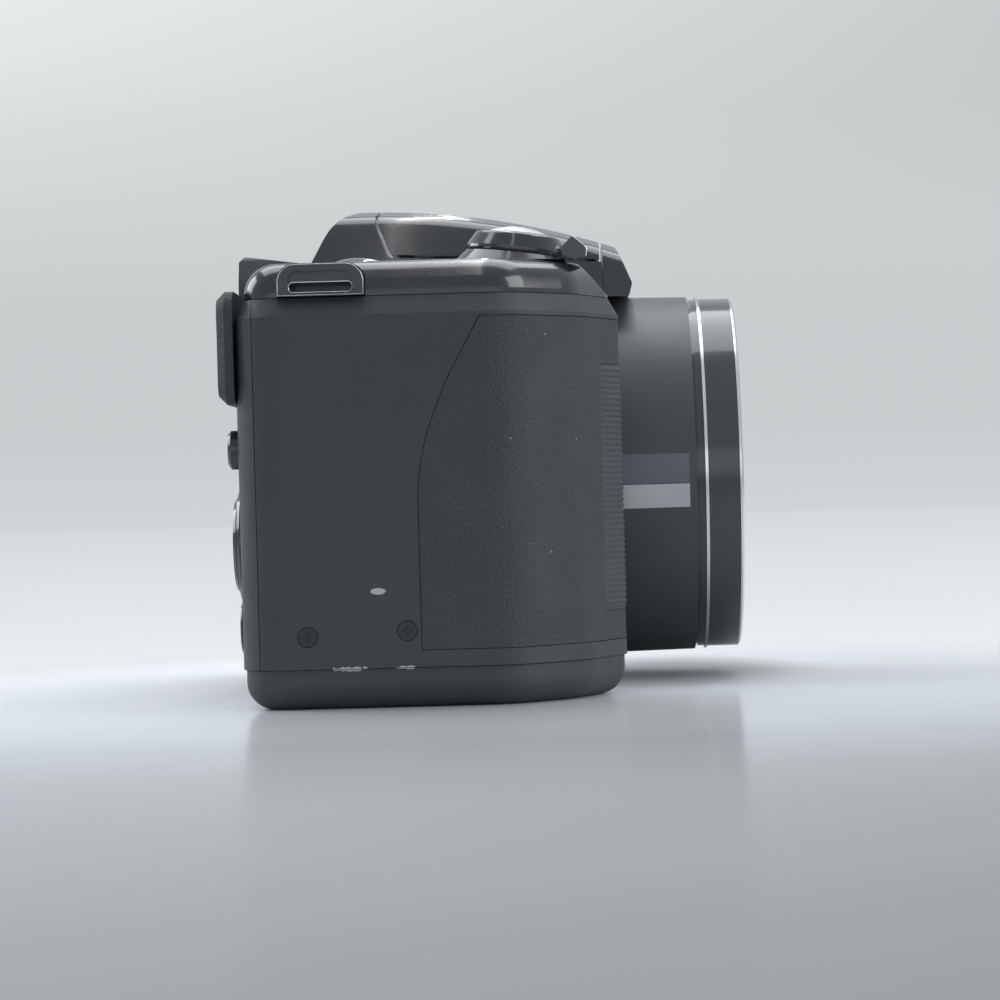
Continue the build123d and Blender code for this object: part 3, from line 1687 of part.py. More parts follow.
def make_parts():
    parts = {
        "front_cover": front_cover(),
        "rear_cover": rear_cover(),
        "top_cover": top_cover(),
        "bottom_cover": bottom_cover(),
        "hump_front_cap": hump_front_cap(),
        "grip_rubber": grip_rubber(),
        "finger_strip": finger_strip(),
        "thumb_rest": thumb_rest(),
        "case_screws": case_screws(),
        "chassis": chassis(),
        "main_board": main_board(),
        "lcd_panel": lcd_panel(),
        "lcd_window": lcd_window(),
        "battery_box": battery_box(),
        "battery_contacts": battery_contacts(),
        "tripod_socket": tripod_socket(),
        "strap_lugs": strap_lugs(),
        "focus_lamp_window": focus_lamp_window(),
        "flash_capacitor": flash_capacitor(),
        "sound_parts": sound_parts(),
        "switch_boards": switch_boards(),
        "output_jacks": output_jacks(),
        "lens_outer_barrel": lens_outer_barrel(),
        "lens_front_ring": lens_front_ring(),
        "silver_line_ring": silver_line_ring(),
        "front_trim_ring": front_trim_ring(),
        "lens_guide_tube": lens_guide_tube(),
        "lens_base": lens_base(),
        "image_sensor": image_sensor(),
        "zoom_motor": zoom_motor(),
        "zoom_pinion": zoom_pinion(),
        "cam_ring": cam_ring(),
        "zoom_outer_barrel": zoom_outer_barrel(),
        "zoom_inner_barrel": zoom_inner_barrel(),
        "name_ring": name_ring(),
        "front_glass": front_glass(),
        "rear_lens_group": rear_lens_group(),
        "flash_head": flash_head(),
        "flash_window": flash_window(),
        "flash_reflector": Compound(children=[flash_reflector(), flash_tube()]),
        "flash_button": flash_button(),
        "control_base": control_base(),
        "zoom_lever": zoom_lever(),
        "shutter_button": shutter_button(),
        "power_button": power_button(),
        "selector_bezel": selector_bezel_ring(),
        "multi_selector": multi_selector(),
        "selector_carrier": selector_carrier(),
        "ok_button": ok_button(),
        "battery_door": battery_door(),
        "hinge_pins": hinge_pins(),
        "door_latch": door_latch(),
        "door_contacts": door_contacts(),
        "terminal_cover": terminal_cover(),
    }
    for name in rear_button_table():
        parts[name] = rear_button(name)
    parts["battery_cells"] = Compound(children=battery_cells())
    return parts


os.makedirs("parts", exist_ok=True)
for name, shape in make_parts().items():
    export_step(shape, f"parts/{name}.step")
    print(name, round(shape.volume, 2), len(shape.solids()))
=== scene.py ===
import math

import bmesh
import bpy
from mathutils import Matrix, Vector


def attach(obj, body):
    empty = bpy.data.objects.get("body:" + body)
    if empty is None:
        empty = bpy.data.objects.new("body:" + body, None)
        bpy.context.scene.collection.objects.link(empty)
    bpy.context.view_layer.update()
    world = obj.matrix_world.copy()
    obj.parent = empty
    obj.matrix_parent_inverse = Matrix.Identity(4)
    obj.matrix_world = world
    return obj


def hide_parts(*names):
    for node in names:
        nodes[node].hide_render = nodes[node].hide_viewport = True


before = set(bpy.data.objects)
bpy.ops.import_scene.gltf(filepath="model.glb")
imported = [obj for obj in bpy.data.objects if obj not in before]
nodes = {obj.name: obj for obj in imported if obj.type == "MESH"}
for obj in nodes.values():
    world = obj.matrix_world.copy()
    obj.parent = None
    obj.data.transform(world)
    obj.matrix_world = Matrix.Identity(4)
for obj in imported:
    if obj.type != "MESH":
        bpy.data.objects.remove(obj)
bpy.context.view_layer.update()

# Studio. A pale sweep under and behind the camera, lit by a panel of small lamps overhead and
# seen from low on the grip side. The floor is a flat disc of satin paper. It keeps the soft
# shadow, carries painted shade under the barrel and a painted fall of light (darker towards the
# eye and towards -Y), and fades into the bright sweep behind.
EYE_HEIGHT = 0.0297
EYE_DISTANCE = 0.546
EYE_ASIDE = -0.033
TURN = math.radians(1.03)
LEAN = math.radians(1.6)
LENS_LENGTH = 119.2
SENSOR_WIDTH = 36
FLOOR_RADIUS = 20.0
UNDER_BARREL = (0.02, -0.05, 0.0)
PAINTED_SHADE_SHAPE = (20.0, 40.0, 0.0)
SHEEN_TONE = (1.46, 1.49, 1.50, 1)
MIRROR_GAIN = 1.27
HAZE_CENTRE = (0.0, -0.03, 0.0)
STRIP_LAMPS = (("strip_near", -0.055, 0.16), ("strip_far", 0.385, 0.3))
STRIP_LAMP_HEIGHT = 0.455
STRIP_LEAN = 0.3
SMALL_LAMP_BEAT = 380.0
MIDDLE_Y = -0.02


def wire(tree, kind, inputs=None, **settings):
    node = tree.nodes.new(kind)
    for key, value in settings.items():
        setattr(node, key, value)
    for key, value in (inputs or {}).items():
        if isinstance(value, bpy.types.NodeSocket):
            tree.links.new(value, node.inputs[key])
        else:
            node.inputs[key].default_value = value
    return node


def set_ramp(node, stops):
    ramp = node.color_ramp
    while len(ramp.elements) < len(stops):
        ramp.elements.new(0.5)
    for element, (place, tone) in zip(ramp.elements, stops):
        element.position = place
        element.color = (*tone, 1) if isinstance(tone, tuple) else (tone, tone, tone, 1)
    return node


ahead = Vector((math.cos(TURN), math.sin(TURN), 0))
aside = Vector((math.sin(TURN), -math.cos(TURN), 0))
up = Vector((0, 0, 1))
right = aside * math.cos(LEAN) - up * math.sin(LEAN)
top = up * math.cos(LEAN) + aside * math.sin(LEAN)
eye = bpy.data.objects.new("photographer", bpy.data.cameras.new("photographer"))
eye.data.lens = LENS_LENGTH
eye.data.sensor_width = SENSOR_WIDTH
eye.data.clip_start = 0.01
eye.matrix_world = Matrix((
    (right.x, top.x, -ahead.x, -EYE_DISTANCE),
    (right.y, top.y, -ahead.y, EYE_ASIDE),
    (right.z, top.z, -ahead.z, EYE_HEIGHT),
    (0, 0, 0, 1),
))
bpy.context.scene.collection.objects.link(eye)
bpy.context.scene.camera = eye
bpy.context.scene.view_settings.view_transform = "Standard"

sky = bpy.data.worlds.new("sweep")
bpy.context.scene.world = sky
sky.use_nodes = True
tree = sky.node_tree
tree.nodes.clear()
way = wire(tree, "ShaderNodeTexCoord")
split = wire(tree, "ShaderNodeSeparateXYZ", {"Vector": way.outputs["Generated"]})
height = wire(tree, "ShaderNodeMapRange", {
    "Value": split.outputs["Z"], "From Min": 0.0, "From Max": 0.16})
wall = set_ramp(wire(tree, "ShaderNodeValToRGB", {"Fac": height.outputs["Result"]}), [
    (0.0, (0.62, 0.65, 0.665)),
    (0.06, (0.60, 0.63, 0.645)),
    (0.15, (0.58, 0.61, 0.62)),
    (0.30, (0.577, 0.605, 0.615)),
    (0.52, (0.605, 0.635, 0.64)),
    (0.72, (0.625, 0.655, 0.655)),
    (0.90, (0.67, 0.70, 0.705)),
    (1.0, (0.70, 0.73, 0.735)),
])
seen = wire(tree, "ShaderNodeLightPath")
shown = wire(tree, "ShaderNodeMath", {
    0: seen.outputs["Is Camera Ray"], 1: seen.outputs["Is Transmission Ray"]}, operation="MAXIMUM")
high = wire(tree, "ShaderNodeMapRange", {
    "Value": split.outputs["Z"], "From Min": 0.06, "From Max": 0.15}, interpolation_type="SMOOTHSTEP")
slant = wire(tree, "ShaderNodeMath", {0: split.outputs["Y"], 1: high.outputs["Result"]},
             operation="MULTIPLY")
level = wire(tree, "ShaderNodeMath", {0: slant.outputs["Value"], 1: 1.0}, operation="ADD")
fill = wire(tree, "ShaderNodeBackground", {"Color": (0.88, 0.94, 1.0, 1), "Strength": 0.55})
glow = wire(tree, "ShaderNodeBackground", {
    "Color": wall.outputs["Color"], "Strength": level.outputs["Value"]})
pick = wire(tree, "ShaderNodeMixShader", {
    "Fac": shown.outputs["Value"], 1: fill.outputs["Background"], 2: glow.outputs["Background"]})
wire(tree, "ShaderNodeOutputWorld", {"Surface": pick.outputs["Shader"]})

bm = bmesh.new()
bmesh.ops.create_circle(bm, cap_ends=True, cap_tris=True, radius=FLOOR_RADIUS, segments=96)
mesh = bpy.data.meshes.new("floor")
bm.to_mesh(mesh)
bm.free()
floor = bpy.data.objects.new("floor", mesh)
bpy.context.scene.collection.objects.link(floor)
paper = bpy.data.materials.new("sweep_paper")
paper.use_nodes = True
tree = paper.node_tree
tree.nodes.clear()
place = wire(tree, "ShaderNodeTexCoord")
split = wire(tree, "ShaderNodeSeparateXYZ", {"Vector": place.outputs["Object"]})
along = wire(tree, "ShaderNodeMapRange", {
    "Value": split.outputs["X"], "From Min": -0.4, "From Max": 0.1})
# painted light: the paper's colour grows lighter from the eye towards the camera, standing in for the
# fall of the lamps' light
tone = set_ramp(wire(tree, "ShaderNodeValToRGB", {"Fac": along.outputs["Result"]}), [
    (0.10, (0.366, 0.373, 0.375)),
    (0.18, (0.382, 0.390, 0.392)),
    (0.26, (0.399, 0.408, 0.410)),
    (0.36, (0.400, 0.410, 0.412)),
    (0.432, (0.393, 0.403, 0.405)),
    (0.52, (0.414, 0.425, 0.428)),
    (0.60, (0.510, 0.525, 0.530)),
    (0.70, (0.606, 0.625, 0.632)),
    (0.80, (0.630, 0.650, 0.657)),
])
# painted light: the paper is lighter towards +Y and darker towards -Y, standing in for light from that
# side
painted_side_light = wire(tree, "ShaderNodeMapRange", {
    "Value": split.outputs["Y"], "From Min": -0.09, "From Max": 0.03, "To Min": 0.87, "To Max": 1.13})
# painted shade: the paper's colour is darkened to half in an oval under the barrel, standing in for its
# shadow
beneath = wire(tree, "ShaderNodeVectorMath", {
    0: place.outputs["Object"], 1: UNDER_BARREL}, operation="SUBTRACT")
oval = wire(tree, "ShaderNodeVectorMath", {0: beneath.outputs["Vector"], 1: PAINTED_SHADE_SHAPE},
            operation="MULTIPLY")
reached = wire(tree, "ShaderNodeVectorMath", {0: oval.outputs["Vector"]}, operation="LENGTH")
painted_barrel_shade = wire(tree, "ShaderNodeMapRange", {
    "Value": reached.outputs["Value"], "From Min": 0.3, "From Max": 1.2, "To Min": 0.5, "To Max": 1.0},
    interpolation_type="SMOOTHSTEP")
share = wire(tree, "ShaderNodeMath", {0: painted_side_light.outputs["Result"], 1: painted_barrel_shade.outputs["Result"]},
             operation="MULTIPLY")
painted_light_tone = wire(tree, "ShaderNodeVectorMath", {
    0: tone.outputs["Color"], 3: share.outputs["Value"]}, operation="SCALE")
matt = wire(tree, "ShaderNodeBsdfDiffuse", {"Color": painted_light_tone.outputs["Vector"]})
sheen = wire(tree, "ShaderNodeBsdfGlossy", {"Color": SHEEN_TONE, "Roughness": 0.15})
graze = wire(tree, "ShaderNodeFresnel", {"IOR": 1.03})
calm = set_ramp(wire(tree, "ShaderNodeValToRGB", {"Fac": along.outputs["Result"]}), [
    (0.24, 0.12), (0.36, 0.24), (0.432, 0.48), (0.52, 0.88), (0.60, 1.0), (0.68, 0.9), (0.76, 0.3),
    (0.84, 0.1)])
mirrored = wire(tree, "ShaderNodeMath", {0: graze.outputs["Fac"], 1: calm.outputs["Color"]},
                operation="MULTIPLY")
glazed = wire(tree, "ShaderNodeMath", {0: mirrored.outputs["Value"], 1: MIRROR_GAIN},
              operation="MULTIPLY")
skin = wire(tree, "ShaderNodeMixShader", {
    "Fac": glazed.outputs["Value"], 1: matt.outputs["BSDF"], 2: sheen.outputs["BSDF"]})
round_it = wire(tree, "ShaderNodeVectorMath", {
    0: place.outputs["Object"], 1: HAZE_CENTRE}, operation="DISTANCE")
ringed = wire(tree, "ShaderNodeMapRange", {
    "Value": round_it.outputs["Value"], "From Min": 0.07, "From Max": 0.13},
    interpolation_type="SMOOTHSTEP")
behind = wire(tree, "ShaderNodeMapRange", {
    "Value": split.outputs["X"], "From Min": 0.0, "From Max": 0.05}, interpolation_type="SMOOTHSTEP")
far = wire(tree, "ShaderNodeMath", {0: ringed.outputs["Result"], 1: behind.outputs["Result"]},
           operation="MULTIPLY")
away = wire(tree, "ShaderNodeMapRange", {
    "Value": split.outputs["X"], "From Min": 0.0, "From Max": 5.0})
reach = set_ramp(wire(tree, "ShaderNodeValToRGB", {"Fac": away.outputs["Result"]}), [
    (0.0, (0.82, 0.85, 0.88)),
    (0.03, (0.81, 0.84, 0.87)),
    (0.09, (0.76, 0.79, 0.81)),
    (0.22, (0.72, 0.75, 0.77)),
    (0.40, (0.69, 0.72, 0.74)),
    (0.87, (0.66, 0.69, 0.705)),
    (1.0, (0.63, 0.66, 0.675)),
])
haze = wire(tree, "ShaderNodeEmission", {"Color": reach.outputs["Color"]})
seen = wire(tree, "ShaderNodeLightPath")
fade = wire(tree, "ShaderNodeMath", {0: far.outputs["Value"], 1: seen.outputs["Is Camera Ray"]},
            operation="MULTIPLY")
blend = wire(tree, "ShaderNodeMixShader", {
    "Fac": fade.outputs["Value"], 1: skin.outputs["Shader"], 2: haze.outputs["Emission"]})
wire(tree, "ShaderNodeOutputMaterial", {"Surface": blend.outputs["Shader"]})
mesh.materials.append(paper)


def lamp(name, place, aim, size_x, size_y, power, colour=(1, 1, 1)):
    data = bpy.data.lights.new(name, "AREA")
    data.shape = "RECTANGLE"
    data.size = size_x
    data.size_y = size_y
    data.energy = power
    data.color = colour
    made = bpy.data.objects.new(name, data)
    made.location = place
    made.rotation_euler = (Vector(aim) - Vector(place)).to_track_quat("-Z", "Y").to_euler()
    made.visible_camera = False
    bpy.context.scene.collection.objects.link(made)
    return made


lamp("panel", place=(0.16, MIDDLE_Y, 0.46), aim=(0.16, MIDDLE_Y, 0), size_x=0.42, size_y=0.6,
     power=1.9, colour=(0.96, 0.985, 1.0))
for name, x, power in STRIP_LAMPS:
    strip = lamp(name, place=(x, MIDDLE_Y, STRIP_LAMP_HEIGHT), aim=(x * STRIP_LEAN, MIDDLE_Y, 0),
                 size_x=0.012, size_y=0.6, power=power)
    strip.data.use_nodes = True
    tree = strip.data.node_tree
    tree.nodes.clear()
    chips = wire(tree, "ShaderNodeNewGeometry")
    run = wire(tree, "ShaderNodeSeparateXYZ", {"Vector": chips.outputs["Position"]})
    beat = wire(tree, "ShaderNodeMath", {0: run.outputs["Y"], 1: SMALL_LAMP_BEAT},
                operation="MULTIPLY")
    wave = wire(tree, "ShaderNodeMath", {0: beat.outputs["Value"]}, operation="SINE")
    dots = wire(tree, "ShaderNodeMapRange", {
        "Value": wave.outputs["Value"], "From Min": 0.1, "From Max": 0.6, "To Min": 0.15, "To Max": 2.4})
    shine = wire(tree, "ShaderNodeEmission", {"Strength": dots.outputs["Result"]})
    wire(tree, "ShaderNodeOutputLight", {"Surface": shine.outputs["Emission"]})
lamp("front_soft", place=(-0.25, -0.7, 0.35), aim=(0, -0.03, 0.03), size_x=0.5, size_y=0.4,
     power=2.2, colour=(0.97, 0.99, 1.0))
lamp("back_soft", place=(0.3, 0.7, 0.4), aim=(0, 0, 0.03), size_x=0.5, size_y=0.4,
     power=2.2, colour=(0.97, 0.99, 1.0))
lamp("grip_soft", place=(-0.5, -0.03, 0.035), aim=(0, -0.03, 0.035), size_x=0.9, size_y=0.25,
     power=0.3, colour=(0.94, 0.975, 1.0))

# Body shell. Moulded black ABS in two halves, front and rear, with a spark-eroded grain, and the
# base plate and battery door in the same material. It is a little worn where hands and tables
# touch it: a bright chip on the grip's side and two rubbed places along the bottom seam.
SHELL_BLACK = (0.034, 0.039, 0.043)
SHELL_WORN = (0.42, 0.45, 0.46)
GRIP_SIDE = -0.0655
RAGGED_CHIP = 0.25
RAGGED_RUB = 0.9
WORN_PLACES = [(-0.0064, 0.0170, 0.00115, 0.0005, RAGGED_CHIP),
               (-0.0021, 0.00585, 0.0034, 0.0004, RAGGED_RUB),
               (-0.0103, 0.00585, 0.0021, 0.00034, RAGGED_RUB)]
DUST = (0.34, 0.36, 0.37)
BARE_CELLS = 0.86


def shader_group(name, inputs, outputs):
    group = bpy.data.node_groups.new(name, "ShaderNodeTree")
    for title, default in inputs:
        socket = group.interface.new_socket(name=title, in_out="INPUT", socket_type="NodeSocketFloat")
        socket.default_value = default
    for title in outputs:
        group.interface.new_socket(name=title, in_out="OUTPUT", socket_type="NodeSocketFloat")
    return group, group.nodes.new("NodeGroupInput"), group.nodes.new("NodeGroupOutput")


# the grain of a moulding: fine pits over a slow unevenness of the skin
grain, taken, given = shader_group("moulding_grain", [("Scale", 4000.0), ("Slow Scale", 90.0)],
                                   ["Height", "Unevenness"])
place = wire(grain, "ShaderNodeTexCoord")
fine = wire(grain, "ShaderNodeTexNoise", {
    "Vector": place.outputs["Object"], "Scale": taken.outputs["Scale"], "Detail": 3.0,
    "Roughness": 0.6})
pits = wire(grain, "ShaderNodeTexVoronoi", {
    "Vector": place.outputs["Object"], "Scale": taken.outputs["Scale"]}, feature="F1")
both = wire(grain, "ShaderNodeMath", {0: fine.outputs["Fac"], 1: pits.outputs["Distance"]},
            operation="ADD")
slow = wire(grain, "ShaderNodeTexNoise", {
    "Vector": place.outputs["Object"], "Scale": taken.outputs["Slow Scale"], "Detail": 4.0})
grain.links.new(both.outputs["Value"], given.inputs["Height"])
grain.links.new(slow.outputs["Fac"], given.inputs["Unevenness"])

# what handling leaves: small pale specks of dust, and finger smudges that dull the gloss
handled, taken, given = shader_group("handling_marks", [("Speck Scale", 700.0), ("Speck Size", 0.10)],
                                     ["Specks", "Smudge"])
place = wire(handled, "ShaderNodeTexCoord")
cells = wire(handled, "ShaderNodeTexVoronoi", {
    "Vector": place.outputs["Object"], "Scale": taken.outputs["Speck Scale"]}, feature="F1")
lone = wire(handled, "ShaderNodeSeparateColor", {"Color": cells.outputs["Color"]})
rare = wire(handled, "ShaderNodeMath", {0: lone.outputs["Red"], 1: BARE_CELLS},
            operation="GREATER_THAN")
size = wire(handled, "ShaderNodeMath", {0: taken.outputs["Speck Size"], 1: lone.outputs["Green"]},
            operation="MULTIPLY")
near = wire(handled, "ShaderNodeMath", {0: cells.outputs["Distance"], 1: size.outputs["Value"]},
            operation="LESS_THAN")
speck = wire(handled, "ShaderNodeMath", {0: rare.outputs["Value"], 1: near.outputs["Value"]},
             operation="MULTIPLY")
cloud = wire(handled, "ShaderNodeTexNoise", {
    "Vector": place.outputs["Object"], "Scale": 140.0, "Detail": 5.0, "Distortion": 0.6})
patch = wire(handled, "ShaderNodeMapRange", {
    "Value": cloud.outputs["Fac"], "From Min": 0.45, "From Max": 0.75})
handled.links.new(speck.outputs["Value"], given.inputs["Specks"])
handled.links.new(patch.outputs["Result"], given.inputs["Smudge"])


def moulded(name, colour, roughness, grain_scale=4000.0, depth=0.00002, dull=0.12, paler=0.25,
            specks=0.0, speck_size=0.10, **sockets):
    # one finish of the camera: base colour with specks and unevenness, grain in the normal
    made = bpy.data.materials.new(name)
    made.use_nodes = True
    tree = made.node_tree
    shader = tree.nodes["Principled BSDF"]
    skin = wire(tree, "ShaderNodeGroup", node_tree=grain)
    skin.inputs["Scale"].default_value = grain_scale
    marks = wire(tree, "ShaderNodeGroup", node_tree=handled)
    marks.inputs["Speck Size"].default_value = speck_size
    pale = tuple(min(1.0, c * (1 + paler)) for c in colour)
    slow = wire(tree, "ShaderNodeMix", {
        "Factor": skin.outputs["Unevenness"], 6: (*colour, 1), 7: (*pale, 1)}, data_type="RGBA")
    dusty = wire(tree, "ShaderNodeMath", {0: marks.outputs["Specks"], 1: specks}, operation="MULTIPLY")
    spotted = wire(tree, "ShaderNodeMix", {
        "Factor": dusty.outputs["Value"], 6: slow.outputs[2], 7: (*DUST, 1)}, data_type="RGBA")
    tree.links.new(spotted.outputs[2], shader.inputs["Base Color"])
    rough = wire(tree, "ShaderNodeMapRange", {
        "Value": marks.outputs["Smudge"], "To Min": roughness, "To Max": min(1.0, roughness + dull)})
    tree.links.new(rough.outputs["Result"], shader.inputs["Roughness"])
    bump = wire(tree, "ShaderNodeBump", {
        "Strength": 1.0, "Distance": depth, "Height": skin.outputs["Height"]})
    tree.links.new(bump.outputs["Normal"], shader.inputs["Normal"])
    for key, value in sockets.items():
        shader.inputs[key.replace("_", " ")].default_value = value
    made["base"] = spotted.name
    return made


def dress(material, *names):
    for name in names:
        for place in nodes[name].material_slots:
            place.material = material


def worn_spots(material, spots, pale):
    # pale worn places on the grip's side: each is an ellipse in Y and Z with a ragged edge
    tree = material.node_tree
    shader = tree.nodes["Principled BSDF"]
    before = tree.nodes[material["base"]].outputs[2]
    place = wire(tree, "ShaderNodeTexCoord")
    ragged = wire(tree, "ShaderNodeTexNoise", {
        "Vector": place.outputs["Object"], "Scale": 1500.0, "Detail": 4.0})
    apart = wire(tree, "ShaderNodeSeparateXYZ", {"Vector": place.outputs["Object"]})
    outer = wire(tree, "ShaderNodeMath", {0: apart.outputs["X"], 1: GRIP_SIDE}, operation="LESS_THAN")
    total = None
    for y, z, half_y, half_z, rag in spots:
        dy = wire(tree, "ShaderNodeMapRange", {
            "Value": apart.outputs["Y"], "From Min": y - half_y, "From Max": y + half_y,
            "To Min": -1.0, "To Max": 1.0}, clamp=False)
        dz = wire(tree, "ShaderNodeMapRange", {
            "Value": apart.outputs["Z"], "From Min": z - half_z, "From Max": z + half_z,
            "To Min": -1.0, "To Max": 1.0}, clamp=False)
        ay = wire(tree, "ShaderNodeMath", {0: dy.outputs["Result"], 1: dy.outputs["Result"]},
                  operation="MULTIPLY")
        az = wire(tree, "ShaderNodeMath", {0: dz.outputs["Result"], 1: dz.outputs["Result"]},
                  operation="MULTIPLY")
        off = wire(tree, "ShaderNodeMath", {0: ay.outputs["Value"], 1: az.outputs["Value"]},
                   operation="ADD")
        edge = wire(tree, "ShaderNodeMapRange", {
            "Value": ragged.outputs["Fac"], "From Min": 0.35, "From Max": 0.65,
            "To Min": 1.0 - rag, "To Max": 1.0})
        inside = wire(tree, "ShaderNodeMath", {0: off.outputs["Value"], 1: edge.outputs["Result"]},
                      operation="LESS_THAN")
        total = inside if total is None else wire(tree, "ShaderNodeMath", {
            0: total.outputs["Value"], 1: inside.outputs["Value"]}, operation="MAXIMUM")
    only = wire(tree, "ShaderNodeMath", {0: total.outputs["Value"], 1: outer.outputs["Value"]},
                operation="MULTIPLY")
    mixed = wire(tree, "ShaderNodeMix", {"Factor": only.outputs["Value"], 6: before, 7: (*pale, 1)},
                 data_type="RGBA")
    tree.links.new(mixed.outputs[2], shader.inputs["Base Color"])


shell = moulded("shell_black", SHELL_BLACK, roughness=0.46, grain_scale=3600.0, depth=0.00004,
                specks=0.35)
worn = moulded("shell_black_worn", SHELL_BLACK, roughness=0.46, grain_scale=3600.0, depth=0.00004,
               specks=0.35)
worn_spots(worn, WORN_PLACES, SHELL_WORN)
dress(worn, "front_cover", "battery_door")
dress(shell, "rear_cover", "bottom_cover", "door_latch")

# Grip covering. A sheet of black elastomer glued round the grip, with a fine pebble grain that
# holds dust. The thumb rest and the soft cover over the sockets are moulded of the same elastomer.
RUBBER = (0.035, 0.039, 0.040)
covering = moulded("grip_pebble", RUBBER, roughness=0.62, grain_scale=2300.0, depth=0.00011, dull=0.1,
                   paler=0.4, specks=0.55, speck_size=0.16)
dress(covering, "grip_rubber")
thumb = moulded("thumb_pebble", RUBBER, roughness=0.62, grain_scale=2300.0, depth=0.00009, specks=0.3)
dress(thumb, "thumb_rest", "terminal_cover")

# Finger strip. The same elastomer, moulded with rows of small raised bars for the fingertips. It
# lies in a shallow recess round the tip of the grip's nose and is glued in.
STRIP_START = (-0.0515, -0.0396)
STRIP_TANGENT = (-0.04587, -0.04207)
NOSE_CENTRE = (-0.04328, -0.03611)
NOSE_RADIUS = 0.0065
STRIP_LOW = 0.01275
STRIP_HIGH = 0.04965
ROW_PITCH = 0.00085
BAR_PITCH = 0.0013
RELIEF = 0.00028
SINK = 0.00012
NOSE_FROM = math.radians(-113.5)
NOSE_SWEEP = math.radians(84.0)
FLAT_RIM = 0.0003
RIM_FADE = 0.0004
STRIP_CORNER = 0.001
BORDER_DEPTH = 0.0003
RIB_ROUNDING = 0.7
BAR_ROUNDING = 0.45
BAR_COLUMNS = 104
BAR_ROWS = 258


def along_nose(distance):
    # the point and outward direction at a distance round the nose, seen from above
    start, tangent = Vector(STRIP_START), Vector(STRIP_TANGENT)
    straight = (tangent - start).length
    heading = (tangent - start).normalized()
    if distance < straight:
        return start + heading * distance, Vector((heading.y, -heading.x))
    angle = NOSE_FROM + (distance - straight) / NOSE_RADIUS
    outward = Vector((math.cos(angle), math.sin(angle)))
    return Vector(NOSE_CENTRE) + outward * NOSE_RADIUS, outward


strip_length = (Vector(STRIP_TANGENT) - Vector(STRIP_START)).length + NOSE_SWEEP * NOSE_RADIUS
bm = bmesh.new()
grid = []
for i in range(BAR_ROWS + 1):
    z = STRIP_LOW + (STRIP_HIGH - STRIP_LOW) * i / BAR_ROWS
    line = []
    for j in range(BAR_COLUMNS + 1):
        run = strip_length * j / BAR_COLUMNS
        point, outward = along_nose(run)
        row = math.floor(z / ROW_PITCH)
        rib = math.sin(math.pi * (z / ROW_PITCH % 1)) ** RIB_ROUNDING
        bar = abs(math.sin(math.pi * (run / BAR_PITCH + 0.5 * (row % 2)))) ** BAR_ROUNDING
        rim = min(run, strip_length - run, z - STRIP_LOW, STRIP_HIGH - z)
        fade = min(1.0, max(0.0, (rim - FLAT_RIM) / RIM_FADE))
        corner_y = max(0.0, STRIP_CORNER - min(run, strip_length - run))
        corner_z = max(0.0, STRIP_CORNER - min(z - STRIP_LOW, STRIP_HIGH - z))
        cut = math.hypot(corner_y, corner_z) > STRIP_CORNER
        lift = RELIEF * rib * bar * fade - SINK - (BORDER_DEPTH if cut else 0.0)
        line.append(bm.verts.new((*(point + outward * lift), z)))
    grid.append(line)
for i in range(BAR_ROWS):
    for j in range(BAR_COLUMNS):
        bm.faces.new((grid[i][j], grid[i][j + 1], grid[i + 1][j + 1], grid[i + 1][j]))
border = grid[0] + [r[-1] for r in grid[1:]] + list(reversed(grid[-1][:-1]))
border += [r[0] for r in reversed(grid[1:-1])]
sunk = []
for v in border:
    inward = (Vector(NOSE_CENTRE) - v.co.xy).normalized() * BORDER_DEPTH
    sunk.append(bm.verts.new((v.co.x + inward.x, v.co.y + inward.y, v.co.z)))
for k in range(len(border)):
    n = (k + 1) % len(border)
    bm.faces.new((border[k], sunk[k], sunk[n], border[n]))
bmesh.ops.recalc_face_normals(bm, faces=bm.faces)
mesh = bpy.data.meshes.new("finger_strip_bars")
bm.to_mesh(mesh)
bm.free()
bars = bpy.data.objects.new("finger_strip_bars", mesh)
bpy.context.scene.collection.objects.link(bars)
for face in mesh.polygons:
    face.use_smooth = True
knurl = moulded("finger_strip_rubber", (0.052, 0.057, 0.058), roughness=0.6, grain_scale=3000.0,
                depth=0.00006, specks=0.4)
mesh.materials.append(knurl)
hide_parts("finger_strip")
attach(bars, "body")

# Top cover, flash housing and the cap in front of it. Black polycarbonate, polished in the mould,
# over which a clear coat lies. Smudges and specks of dust show where it catches the light. The
# lever's sloped base and the small rear buttons are made the same way.
gloss = moulded("top_gloss", (0.016, 0.018, 0.020), roughness=0.16, grain_scale=5200.0, depth=0.000004,
                dull=0.16, specks=0.5, speck_size=0.09, Coat_Weight=0.6, Coat_Roughness=0.08)
dress(gloss, "top_cover", "flash_head", "hump_front_cap", "flash_button", "control_base",
      "mode_button", "playback_button", "menu_button", "delete_button", "movie_button")

# Strap lugs. Dark moulded loops let into both ends of the top cover, with a bright edge round the
# arch and round the slot that the strap goes through.
lug_dark = moulded("lug_dark", (0.028, 0.031, 0.034), roughness=0.3, grain_scale=4200.0, depth=0.00001,
                   Coat_Weight=0.3)
dress(lug_dark, "strap_lugs")
edge_metal = moulded("edge_bright", (0.62, 0.64, 0.66), roughness=0.22, grain_scale=6000.0,
                     depth=0.000003, Metallic=1.0)


def bead(name, points, thickness, body, material, closed=False):
    # a thin bright edge, laid along a smooth line of points
    curve = bpy.data.curves.new(name, "CURVE")
    curve.dimensions = "3D"
    curve.bevel_depth = thickness / 2
    curve.bevel_resolution = 3
    spline = curve.splines.new("POLY")
    spline.points.add(len(points) - 1)
    for p, at in zip(spline.points, points):
        p.co = (*at, 1)
    spline.use_cyclic_u = closed
    made = bpy.data.objects.new(name, curve)
    curve.materials.append(material)
    bpy.context.scene.collection.objects.link(made)
    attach(made, body)


def arc(cx, cz, radius, start, end, steps=8):
    return [(cx + radius * math.cos(math.radians(start + (end - start) * k / steps)),
             cz + radius * math.sin(math.radians(start + (end - start) * k / steps)))
            for k in range(steps + 1)]


